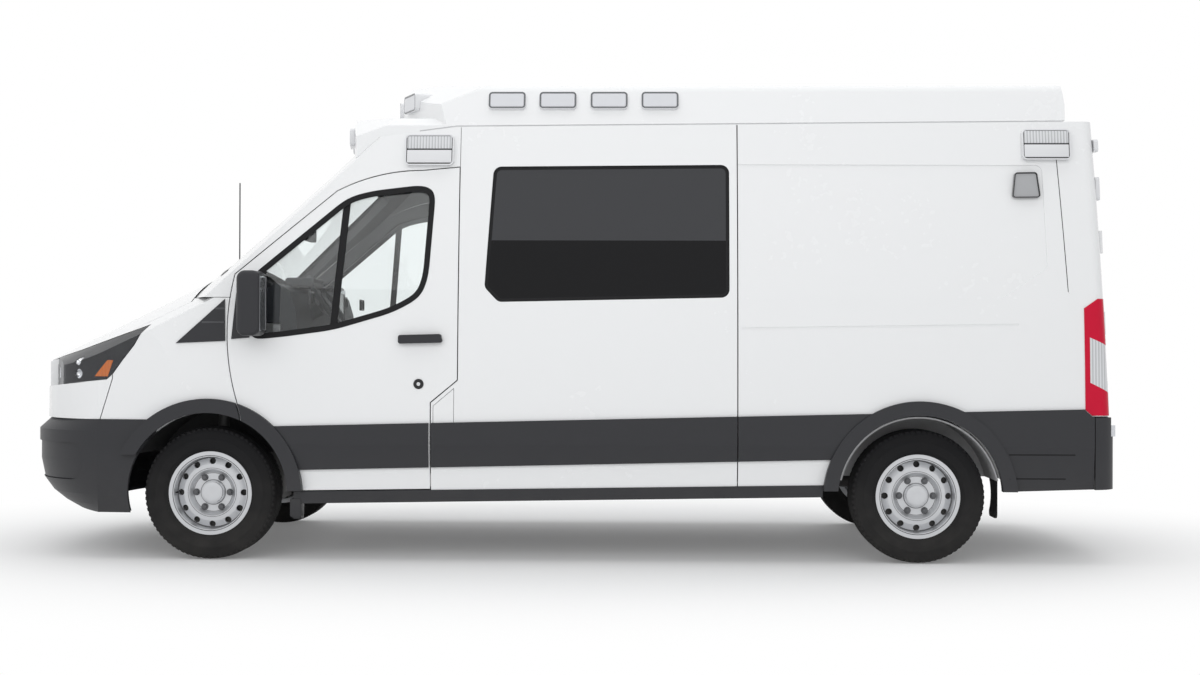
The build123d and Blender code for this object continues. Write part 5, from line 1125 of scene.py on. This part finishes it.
@dataclass
class Headlamps:
    """Dark housing, bowls and amber lamp behind the clear covers."""

    depth: float = 0.004
    front_bowls: tuple[tuple[float, float, float], ...] = ((0.660, 0.985, 0.040),)
    side_bowls: tuple[tuple[float, float, float], ...] = ((2.590, 1.060, 0.030), (2.590, 0.985, 0.026))
    amber: tuple[Pair, ...] = ((2.491, 0.972), (2.418, 0.972), (2.389, 1.058), (2.421, 1.058))

    def build(self) -> None:
        """Make both lamps' insides."""
        housing = Bench.fattened(Bench.node_copy("headlamps", "headlamp_housings"), -self.depth)
        dishes = []
        for side in Side:
            starts = [((3.4, side.value * across, height), (-1, 0, 0), radius)
                      for across, height, radius in self.front_bowls]
            starts += [((along, side.value * 1.4, height), (0, -side.value, 0), radius)
                       for along, height, radius in self.side_bowls]
            places = [(*Bench.hit(housing, start, way), radius) for start, way, radius in starts]
            for place, normal, radius in places:
                cutter = Bench.rod("cutter", tuple(place), radius, 0.070, tuple(normal), 40)
                dishes.append(self._bowl(place - normal * 0.004, normal, radius))
                Bench.modify(housing, "BOOLEAN", operation="DIFFERENCE", object=cutter)
                bpy.data.objects.remove(cutter)
        Bench.dress(housing, "body", "lamp_glass", LAMP_DARK)
        Bench.dress(Bench.join(dishes, "headlamp_bowls"), "body", "lamp_glass", CHROME)
        for side in Side:
            self._amber(side)

    @staticmethod
    def _bowl(place: Vector, normal: Vector, radius: float) -> Piece:
        """Reflector: a short drum whose face is sunk in steps."""
        bowl = Bench.rod("bowl", tuple(place - normal * 0.015), radius - 0.001, 0.028, tuple(normal), 40)
        return Bench.sunk(bowl, tuple(normal), (0.003, 0.0), (0.005, -0.009), (0.006, -0.005), (0.004, 0.001),
                          (0.002, 0.004))

    def _amber(self, side: Side) -> None:
        """Turn lamp low at the housing's rear: a prism kept to just under the cover."""
        out = side.value
        points = [(along, out * 0.80, height) for along, height in self.amber]
        prism = Bench.chain(f"{side.word}_amber_lamp", points)
        with Bench.editing(prism):
            Bench.take_all("VERT")
            bpy.ops.mesh.edge_face_add()
            bpy.ops.mesh.extrude_region_move(TRANSFORM_OT_translate={"value": (0, out * 0.30, 0)})
            Bench.mend()
        under = Bench.fattened(Bench.node_copy("headlamps", "under_cover"), 0.0015 - self.depth)
        Bench.modify(prism, "BOOLEAN", operation="INTERSECT", object=under)
        bpy.data.objects.remove(under)
        Bench.dress(prism, "body", "lamp_glass", AMBER)


class Facing(Enum):
    """Way that a pane faces."""

    ASIDE = "aside"
    BACK = "back"
    AHEAD = "ahead"

    def out(self, place: Vector) -> Vector:
        """Outward direction of a pane at a place."""
        if self is Facing.ASIDE:
            return Vector((0, 1 if place.y > 0 else -1, 0))
        return Vector((-1, 0, 0)) if self is Facing.BACK else Vector((0.66, 0, 0.75))


@dataclass
class GlassSeal:
    """Black seal round the edge of a pane."""

    node: str
    body: str
    facing: Facing
    width: float
    lift: float = 0.001

    def build(self) -> None:
        """Cut the border out of a copy of the pane and thicken it."""
        seal = Bench.node_copy(self.node, f"{self.node}_seal")
        with Bench.editing(seal):
            Bench.pick_faces(seal, lambda place, normal: normal.dot(self.facing.out(place)) < 0.60)
            bpy.ops.mesh.delete(type="FACE")
            Bench.take_all()
            bpy.ops.mesh.inset(thickness=self.width)
            bpy.ops.mesh.delete(type="FACE")
        Bench.fattened(seal, self.lift)
        Bench.modify(seal, "SOLIDIFY", thickness=0.0055, offset=-1.0)
        Bench.dress(seal, self.body, "black_plastic", RUBBER_SEAL)


SEALS = (
    GlassSeal("side_glass", "body", Facing.ASIDE, 0.018),
    GlassSeal("left_rear_glass", "left_back_door", Facing.BACK, 0.020),
    GlassSeal("right_rear_glass", "right_back_door", Facing.BACK, 0.020),
    GlassSeal("windscreen", "body", Facing.AHEAD, 0.040),
)


@dataclass
class DoorFittings:
    """Window bar, lock and mirror glass of a front door."""

    side: Side
    glass_depth: float = 0.0144
    bar_top: Pair = (1.150, 1.930)
    bar_foot: Pair = (1.215, 1.222)
    bar_half: float = 0.019
    lock: Pair = (0.757, 0.938)
    mirror_low: Point = (1.5528, 1.085, 1.215)
    mirror_high: Point = (1.5560, 1.220, 1.500)
    window: tuple[Pair, ...] = (
        (1.655, 1.500), (1.150, 1.922), (1.020, 1.958), (0.752, 1.990), (0.686, 1.950), (0.718, 1.500),
        (0.760, 1.396), (0.900, 1.318), (1.212, 1.226), (1.490, 1.188), (1.655, 1.174))

    @property
    def body(self) -> str:
        """Body of the door."""
        return f"{self.side.word}_front_door"

    def build(self) -> None:
        """Make the door's fittings."""
        self._seal()
        self._bar()
        self._lock()
        self._mirror()

    def _mirrored(self, piece: Piece) -> Piece:
        """Piece as modelled for the left, put on this door's side."""
        return piece if self.side is Side.LEFT else Bench.moved(piece, MIRROR_Y)

    def _outline(self, reach: float = 0.075, step: float = 0.050) -> list[Pair]:
        """Window's edge, a little outside the opening, with round corners and points along its straights.

        Args:
            reach: how far from a corner its rounding starts.
            step: spacing of the points along a straight.

        Returns:
            Places along the edge as x and z.
        """
        middle = Vector((1.150, 1.560))
        corners = [middle + (Vector(corner) - middle) * 1.016 for corner in self.window]
        points: list[Vector] = []
        for index, corner in enumerate(corners):
            arms = []
            for other in (corners[index - 1], corners[(index + 1) % len(corners)]):
                arm = other - corner
                arms.append(corner + arm * min(0.45, reach / arm.length))
            if points:
                gap = (arms[0] - points[-1]).length
                count = int(gap / step)
                points += [points[-1].lerp(arms[0], (rank + 1) / (count + 1)) for rank in range(count)]
            for rank in range(7):
                share = rank / 6
                points.append(arms[0].lerp(corner, share).lerp(corner.lerp(arms[1], share), share))
        gap = (points[0] - points[-1]).length
        count, last = int(gap / step), points[-1]
        points += [last.lerp(points[0], (rank + 1) / (count + 1)) for rank in range(count)]
        return [tuple(point) for point in points]

    def _seal(self) -> None:
        """Black seal round the window, laid over the door's edge and curved with its skin."""
        seal = Bench.chain(f"{self.side.word}_window_seal",
                           [(along, 0.0, height) for along, height in self._outline()])
        with Bench.editing(seal):
            Bench.take_all("VERT")
            bpy.ops.mesh.edge_face_add()
            Bench.take_all("FACE")
            bpy.ops.mesh.inset(thickness=0.030)
            bpy.ops.mesh.delete(type="FACE")
            Bench.take_all()
            bpy.ops.mesh.extrude_region_move(TRANSFORM_OT_translate={"value": (0, 0.011, 0)})
            Bench.mend()
        Bench.shaped(seal, lambda at: Vector((at.x, at.y + skin_y(at.z) - 0.0095, at.z)))
        Bench.dress(self._mirrored(seal), self.body, "black_plastic", RUBBER_SEAL)

    def _bar(self) -> None:
        """Upright bar that parts the quarter light from the drop glass, curved with the pane."""
        (top_x, top_z), (foot_x, foot_z) = self.bar_top, self.bar_foot
        slope = (top_x - foot_x) / (top_z - foot_z)
        bar = Bench.strip(f"{self.side.word}_window_bar", (-self.bar_half, -0.003, foot_z),
                          (self.bar_half, 0.005, top_z), 7)
        Bench.shaped(bar, lambda at: Vector((
            at.x + foot_x + slope * (at.z - foot_z), at.y + skin_y(at.z) - self.glass_depth, at.z)))
        Bench.dress(self._mirrored(bar), self.body, "black_plastic", RUBBER_SEAL)

    def _lock(self) -> None:
        """Black lock disc with a bright key barrel."""
        along, height = self.lock
        face, way = skin_y(height), (0, 1, 0)
        disc = Bench.rod(f"{self.side.word}_door_lock", (along, face, height), 0.027, 0.010, way, 36, 0.002)
        Bench.sunk(disc, way, (0.008, 0.0), (0.002, -0.002), limit=0.95)
        barrel = Bench.rod(f"{self.side.word}_key_barrel", (along, face + 0.002, height), 0.010, 0.008, way,
                           24, 0.0015)
        Bench.sunk(barrel, way, (0.004, 0.0), (0.001, -0.0015), limit=0.95)
        Bench.dress(self._mirrored(disc), self.body, "black_plastic", BLACK_PLASTIC)
        Bench.dress(self._mirrored(barrel), self.body, "silver_steel", CHROME)

    def _mirror(self) -> None:
        """Mirror glass on the rear face of the mirror head."""
        glass = Bench.box(f"{self.side.word}_mirror_glass", self.mirror_low, self.mirror_high, 0.002, 2)
        Bench.sunk(glass, (-1, 0, 0), (0.004, 0.0), (0.001, -0.001), limit=0.95)
        Bench.dress(self._mirrored(glass), self.body, "silver_steel", MIRROR_FACE)


@dataclass
class SailRibs:
    """Two slim louvres on the dark corner ahead of the door."""

    side: Side
    heights: Pair = (1.262, 1.335)
    back_x: float = 1.790
    edge_foot: Pair = (2.052, 1.140)
    edge_top: Pair = (1.801, 1.395)
    edge_gap: float = 0.022
    thinning: float = 0.06

    def build(self) -> None:
        """Lay each louvre on the corner's surface, thinning towards the front."""
        ribs = []
        for height in self.heights:
            share = (height - self.edge_foot[1]) / (self.edge_top[1] - self.edge_foot[1])
            front = self.edge_foot[0] + share * (self.edge_top[0] - self.edge_foot[0]) - self.edge_gap
            rib = Bench.strip("rib", (self.back_x, -0.004, height - 0.006), (front, 0.003, height + 0.004),
                              5, 0.0018)
            ribs.append(Bench.laid(rib, "body_mouldings", self.side,
                                   lambda x, front=front: min(1.0, max(0.1, (front - x) / self.thinning))))
        Bench.dress(Bench.join(ribs, f"{self.side.word}_sail_ribs"), "body", "dark_cladding", SAIL_RIB)


@dataclass
class Seat:
    """Cab seat: plinth, padded cushion, back and headrest."""

    side: Side
    middle_y: float = 0.440
    voxel: float = 0.012
    frames: int = 20
    pressure: float = 4.0
    channel_depth: float = 0.007
    channel_width: float = 0.010

    def build(self) -> None:
        """Model the hard base, then swell each pad."""
        shift = Matrix.Translation((0, self.side.value * self.middle_y, 0))
        upright = Matrix.Identity(4)
        lean = Matrix.Translation((0.668, 0, 1.285)) @ Matrix.Rotation(radians(-12.5), 4, "Y")
        base = Bench.box(f"{self.side.word}_seat_plinth", (0.715, -0.215, 0.642), (1.105, 0.215, 0.862),
                         0.012, 2)
        Bench.sunk(base, (0, 1, 0), (0.030, -0.008), both=True)
        Bench.dress(Bench.moved(base, shift), "body", "black_plastic", BLACK_PLASTIC)
        post = Bench.rod("post", (0.603, 0, 1.615), 0.007, 0.130, (0, 0, 1), 16, 0.001)
        posts = Bench.copies(post, [shift @ Matrix.Translation((0, across, 0)) for across in (-0.06, 0.06)])
        Bench.dress(Bench.join(posts, f"{self.side.word}_headrest_posts"), "body", "silver_steel", CHROME)
        self._pad("cushion", (0.705, -0.225, 0.890), (1.160, 0.225, 1.022), upright, 0.024, 0.13)
        self._pad("backrest", (-0.045, -0.220, -0.270), (0.045, 0.220, 0.262), lean, 0.022, 0.12)
        self._pad("headrest", (0.572, -0.115, 1.662), (0.636, 0.115, 1.800), upright, 0.010, 0.0)

    def _pad(self, part: str, low: Point, high: Point, place: Matrix, cap: float, channel: float) -> None:
        """Swell one pad with cloth pressure and sew its channels.

        Args:
            part: what the pad is.
            low: lowest corner before it is placed.
            high: highest corner before it is placed.
            place: where the pad goes on the seat.
            cap: farthest that a point may move.
            channel: distance of the sewn channels from the middle, 0 for none.
        """
        pad = Bench.box(f"{self.side.word}_seat_{part}", low, high, 0.022, 3)
        Bench.moved(pad, Matrix.Translation((0, self.side.value * self.middle_y, 0)) @ place)
        Bench.modify(pad, "REMESH", mode="VOXEL", voxel_size=self.voxel)
        self._swell(pad, cap)
        middle = self.side.value * self.middle_y
        if channel:
            depths = [self.channel_depth * sum(
                2.718 ** -(((vertex.co.y - middle - line) / self.channel_width) ** 2)
                for line in (-channel, channel)) for vertex in pad.data.vertices]
            normals = [vertex.normal.copy() for vertex in pad.data.vertices]
            for vertex, depth, normal in zip(pad.data.vertices, depths, normals):
                vertex.co -= normal * depth
        Bench.modify(pad, "SUBSURF", levels=1)
        Bench.dress(pad, "body", "grey_cloth", SEAT_CLOTH)
        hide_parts("seats")

    def _swell(self, pad: Piece, cap: float) -> None:
        """Run the cloth with pressure inside it, and keep each point near its start."""
        starts = [vertex.co.copy() for vertex in pad.data.vertices]
        Bench.only(pad)
        cloth = pad.modifiers.new("cloth", "CLOTH")
        cloth.settings.use_pressure = True
        cloth.settings.uniform_pressure_force = self.pressure
        cloth.settings.effector_weights.gravity = 0.0
        cloth.point_cache.frame_end = self.frames
        scene = bpy.context.scene
        for step in range(1, self.frames + 1):
            scene.frame_set(step)
        bpy.ops.object.modifier_apply(modifier=cloth.name)
        for vertex, start in zip(pad.data.vertices, starts):
            move = vertex.co - start
            if move.length > cap:
                vertex.co = start + move * (cap / move.length)
        pad.data.update()
        scene.frame_set(1)


@dataclass
class Cab:
    """Instrument hood, screen, vents and roof lamp of the cab."""

    vents: tuple[float, ...] = (-0.800, -0.200, 0.200, 0.800)

    def build(self) -> None:
        """Make the fittings; those of the dashboard face back."""
        back = (-1, 0, 0)
        hood = Bench.box("instrument_hood", (1.395, 0.270, 1.462), (1.560, 0.610, 1.515), 0.018, 3)
        Bench.dress(Bench.sunk(hood, back, (0.008, -0.030)), "body", "black_plastic", DASH_PLASTIC)
        screen = Bench.box("centre_screen", (1.360, -0.130, 1.300), (1.378, 0.130, 1.455), 0.005, 2)
        Bench.dress(Bench.sunk(screen, back, (0.010, 0.0), (0.002, -0.002)), "body", "black_plastic",
                    LAMP_BLACK)
        vent = Bench.box("vent", (1.364, -0.055, 1.360), (1.378, 0.055, 1.430), 0.004, 2)
        Bench.sunk(vent, back, (0.008, 0.0), (0.002, -0.008))
        vents = Bench.copies(vent, [Matrix.Translation((0, across, 0)) for across in self.vents])
        Bench.dress(Bench.join(vents, "dashboard_vents"), "body", "black_plastic", BLACK_PLASTIC)
        lamp = Bench.box("cab_roof_lamp", (1.000, -0.100, 2.060), (1.160, 0.100, 2.090), 0.008, 2)
        Bench.dress(Bench.sunk(lamp, (0, 0, -1), (0.015, 0.0), (0.003, -0.003)), "body", "lamp_glass",
                    LAMP_LENS)


@dataclass
class BodyFittings:
    """Rear handle, washer jet, intake slats, front guards, and dark strips of painted shade in the cladding
    creases and the corner seam.
    """

    slats: tuple[float, ...] = (0.428, 0.456, 0.484, 0.512)
    uprights: tuple[float, ...] = (-0.212, 0.0, 0.212)
    guard_y: float = 0.965
    creases: tuple[Point, ...] = ((-2.679, -2.335, 0.580), (-2.632, -2.335, 0.454))
    seams: tuple[tuple[Pair, Pair, float], ...] = (
        ((-2.608, 2.139), (-2.651, 1.432), 0.0019), ((-2.651, 1.433), (-2.732, 1.350), 0.0030))
    handle: Point = (-3.3, 0.090, 1.060)
    jet_tip: float = 2.352

    def build(self) -> None:
        """Make the fittings."""
        self._handle()
        self._jet()
        self._intake()
        for side in Side:
            self._guard(side)
            self._creases(side)
            self._seam(side)

    def _seam(self, side: Side) -> None:
        """Dark line in the groove that parts the rear corner from the quarter panel: painted shade of the
        groove.
        """
        lines = []
        for (top_x, top_z), (foot_x, foot_z), half in self.seams:
            line = Bench.strip("seam", (-half, -0.0038, foot_z), (half, -0.0012, top_z), 6, 0.0006)
            slope = (top_x - foot_x) / (top_z - foot_z)
            lines.append(Bench.shaped(line, lambda at, slope=slope, foot_x=foot_x, foot_z=foot_z: Vector((
                at.x + foot_x + slope * (at.z - foot_z), at.y + skin_y(at.z), at.z))))
        seam = Bench.join(lines, f"{side.word}_corner_sealer")
        if side is Side.RIGHT:
            Bench.moved(seam, MIRROR_Y)
        Bench.dress(seam, "body", "black_plastic", RUBBER_SEAL)

    def _intake(self) -> None:
        """Slats and backing of the air intake in the front bumper."""
        slat = Bench.box("slat", (2.895, -0.424, -0.006), (2.922, 0.424, 0.006), 0.003, 2)
        bars = Bench.copies(slat, [Matrix.Translation((0, 0, height)) for height in self.slats])
        upright = Bench.box("upright", (2.898, -0.006, 0.396), (2.918, 0.006, 0.544), 0.003, 2)
        bars += Bench.copies(upright, [Matrix.Translation((0, across, 0)) for across in self.uprights])
        Bench.dress(Bench.join(bars, "intake_slats"), "body", "black_plastic", BLACK_PLASTIC)
        backing = Bench.box("intake_backing", (2.876, -0.428, 0.394), (2.886, 0.428, 0.546), 0.002, 1)
        Bench.dress(Bench.sunk(backing, (1, 0, 0), (0.010, -0.003)), "body", "black_plastic", RUBBER_SEAL)

    def _guard(self, side: Side) -> None:
        """Short moulded guard hanging behind a front wheel."""
        middle = side.value * self.guard_y
        guard = Bench.box(f"{side.word}_front_guard", (1.380, middle - 0.045, 0.235),
                          (1.440, middle + 0.045, 0.330), 0.006, 2)
        with Bench.editing(guard):
            Bench.pick_faces(guard, lambda _, normal: normal.z < -0.9)
            bpy.ops.mesh.inset(thickness=0.008)
            bpy.ops.transform.translate(value=(-0.010, 0, -0.012))
        Bench.dress(guard, "body", "dark_cladding", DARK_CLADDING)

    def _creases(self, side: Side) -> None:
        """Two dark strips along the rear corner's cladding, laid where its fine grooves are: painted shade of
        the grooves.
        """
        lines = []
        for back, front, height in self.creases:
            line = Bench.strip("crease", (back, -0.002, height - 0.0035), (front, 0.0012, height + 0.0035),
                               5, 0.001)
            lines.append(Bench.laid(line, "body_mouldings", side))
        Bench.dress(Bench.join(lines, f"{side.word}_corner_creases"), "body", "dark_cladding", RUBBER_SEAL)

    def _handle(self) -> None:
        """Pull handle of the rear doors, on the left one by the meeting edge."""
        place, _ = Bench.hit(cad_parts["left_rear_door"], self.handle, (1, 0, 0))
        plate = Bench.box("rear_handle_plate", (place.x - 0.006, 0.045, 0.985),
                          (place.x + 0.006, 0.130, 1.135), 0.004, 2)
        Bench.sunk(plate, (-1, 0, 0), (0.012, 0.0), (0.004, -0.004))
        grip = Bench.box("rear_handle_grip", (place.x - 0.024, 0.072, 0.995),
                         (place.x - 0.004, 0.104, 1.125), 0.006, 2)
        Bench.sunk(grip, (0, 0, 1), (0.004, -0.002), both=True)
        for piece in (plate, grip):
            Bench.dress(piece, "left_back_door", "black_plastic", BLACK_PLASTIC)

    def _jet(self) -> None:
        """Slim dark washer jet on the crown of the bonnet."""
        jet = Bench.strip("washer_jet", (2.250, -0.016, 0.0), (2.350, 0.016, 0.010), 4, 0.003)

        def on_bonnet(at: Vector) -> Vector:
            """Place of the jet's point on the bonnet, thinning towards its front."""
            place, _ = Bench.hit(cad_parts["bonnet"], (at.x, at.y, 2.5), (0, 0, -1))
            taper = max(0.15, min(1.0, (self.jet_tip - at.x) / 0.06))
            return Vector((at.x, at.y * taper, place.z + (at.z - 0.002) * taper))

        Bench.dress(Bench.shaped(jet, on_bonnet), "bonnet_lid", "black_plastic", BLACK_PLASTIC)


@dataclass
class Studio:
    """Floor, lights, world and the camera at the photograph's place."""

    position: Point = (-0.4015, 9.5352, 1.1517)
    yaw: float = radians(1.3636)
    pitch: float = radians(-0.2297)
    roll: float = radians(0.1745)
    focal_px: float = 1619.57
    image_px: float = 1200.0
    sensor_mm: float = 36.0
    floor_half: float = 40.0
    world_light: float = 0.58
    shadow_scale: Point = (1 / 5.2, 1 / 3.4, 0)

    def build(self) -> None:
        """Set up the whole studio."""
        self._camera()
        self._world()
        self._lights()
        self._floor()
        bpy.context.scene.view_settings.view_transform = "Standard"

    def _camera(self) -> None:
        """Camera as fitted to the photograph."""
        forward = Vector((sin(self.yaw) * cos(self.pitch), -cos(self.yaw) * cos(self.pitch),
                          -sin(self.pitch)))
        right = forward.cross(Vector((0, 0, 1))).normalized()
        up = right.cross(forward)
        turned = cos(self.roll) * right + sin(self.roll) * up
        above = -sin(self.roll) * right + cos(self.roll) * up
        data = bpy.data.cameras.new("photo_camera")
        data.sensor_width = self.sensor_mm
        data.lens = self.focal_px / self.image_px * self.sensor_mm
        data.clip_end = 200.0
        camera = bpy.data.objects.new("photo_camera", data)
        turn = Matrix((turned, above, -forward)).transposed()
        camera.matrix_world = Matrix.Translation(self.position) @ turn.to_4x4()
        bpy.context.scene.collection.objects.link(camera)
        bpy.context.scene.camera = camera

    @staticmethod
    def _seen(tree: Tree) -> Socket:
        """Mask of rays that show the background: camera, glossy and transmission rays."""
        path = add_node(tree, "LightPath").outputs
        first = compute(tree, "MAXIMUM", path["Is Camera Ray"], path["Is Glossy Ray"])
        return compute(tree, "MAXIMUM", first, path["Is Transmission Ray"])

    def _world(self) -> None:
        """White surround for the camera, plain soft light for the van."""
        world = bpy.data.worlds.new("studio")
        world.use_nodes = True
        bpy.context.scene.world = world
        tree = world.node_tree
        white = tree.nodes["Background"]
        white.inputs["Color"].default_value = (1, 1, 1, 1)
        white.inputs["Strength"].default_value = 1.0
        soft = add_node(tree, "Background", {"Color": (0.97, 0.985, 1.0, 1), "Strength": self.world_light})
        mix = add_node(tree, "MixShader", {0: self._seen(tree), 1: soft.outputs[0], 2: white.outputs[0]})
        tree.links.new(mix.outputs[0], tree.nodes["World Output"].inputs["Surface"])

    @staticmethod
    def _area(name: str, place: Point, target: Point, size: Pair, power: float) -> None:
        """Add a rectangular soft light aimed at a point."""
        data = bpy.data.lights.new(name, "AREA")
        data.shape = "RECTANGLE"
        data.size, data.size_y = size
        data.energy = power
        light = bpy.data.objects.new(name, data)
        light.location = place
        light.rotation_euler = (Vector(target) - Vector(place)).to_track_quat("-Z", "Y").to_euler()
        light.visible_glossy = False
        bpy.context.scene.collection.objects.link(light)

    def _lights(self) -> None:
        """Broad soft light from above and from each side."""
        self._area("roof_softbox", (0, 0, 7.0), (0, 0, 0), (11.0, 7.0), 236.0)
        self._area("camera_softbox", (1.0, 9.0, 5.0), (0, 0, 1.0), (12.0, 4.0), 264.0)
        self._area("far_softbox", (0, -9.0, 5.0), (0, 0, 1.0), (12.0, 4.0), 167.0)

    def _floor(self) -> None:
        """Pale floor that keeps the shadow near the van and fades to white away from it."""
        Bench.clear()
        bpy.ops.mesh.primitive_plane_add(size=2 * self.floor_half, location=(0, 0, -0.001))
        floor = bpy.context.active_object
        floor.name = "studio_floor"
        Bench.settle(floor)
        material = bpy.data.materials.new("studio_floor")
        material.use_nodes = True
        tree = material.node_tree
        shader = tree.nodes["Principled BSDF"]
        shader.inputs["Base Color"].default_value = (0.90, 0.90, 0.90, 1)
        shader.inputs["Roughness"].default_value = 0.75
        shader.inputs["Specular IOR Level"].default_value = 0.1
        glow = add_node(tree, "Emission")
        scale = add_node(tree, "Mapping", {"Vector": placed(tree)[0], "Scale": self.shadow_scale})
        length = add_node(tree, "VectorMath", {0: scale.outputs[0]}, operation="LENGTH")
        fade = add_node(tree, "MapRange",
                        {"Value": length.outputs["Value"], "From Min": 0.45, "From Max": 1.0,
                         "To Min": 0.14}, interpolation_type="SMOOTHSTEP")
        share = compute(tree, "MULTIPLY", fade.outputs["Result"], self._seen(tree))
        mix = add_node(tree, "MixShader", {0: share, 1: shader.outputs[0], 2: glow.outputs[0]})
        tree.links.new(mix.outputs[0], tree.nodes["Material Output"].inputs["Surface"])
        floor.data.materials.append(material)


def main() -> None:
    """Build the studio, dress the nodes and add the detail pieces."""
    Studio().build()
    NodeDresser().dress()
    for corner, side in (("front_left", Side.LEFT), ("front_right", Side.RIGHT),
                         ("rear_left", Side.LEFT), ("rear_right", Side.RIGHT)):
        Wheel(corner, side).build()
    RoofLamps().build()
    TailLamps().build()
    Headlamps().build()
    for seal in SEALS:
        seal.build()
    for side in Side:
        DoorFittings(side).build()
        SailRibs(side).build()
        Seat(side).build()
    Cab().build()
    BodyFittings().build()


if __name__ == "__main__":
    main()
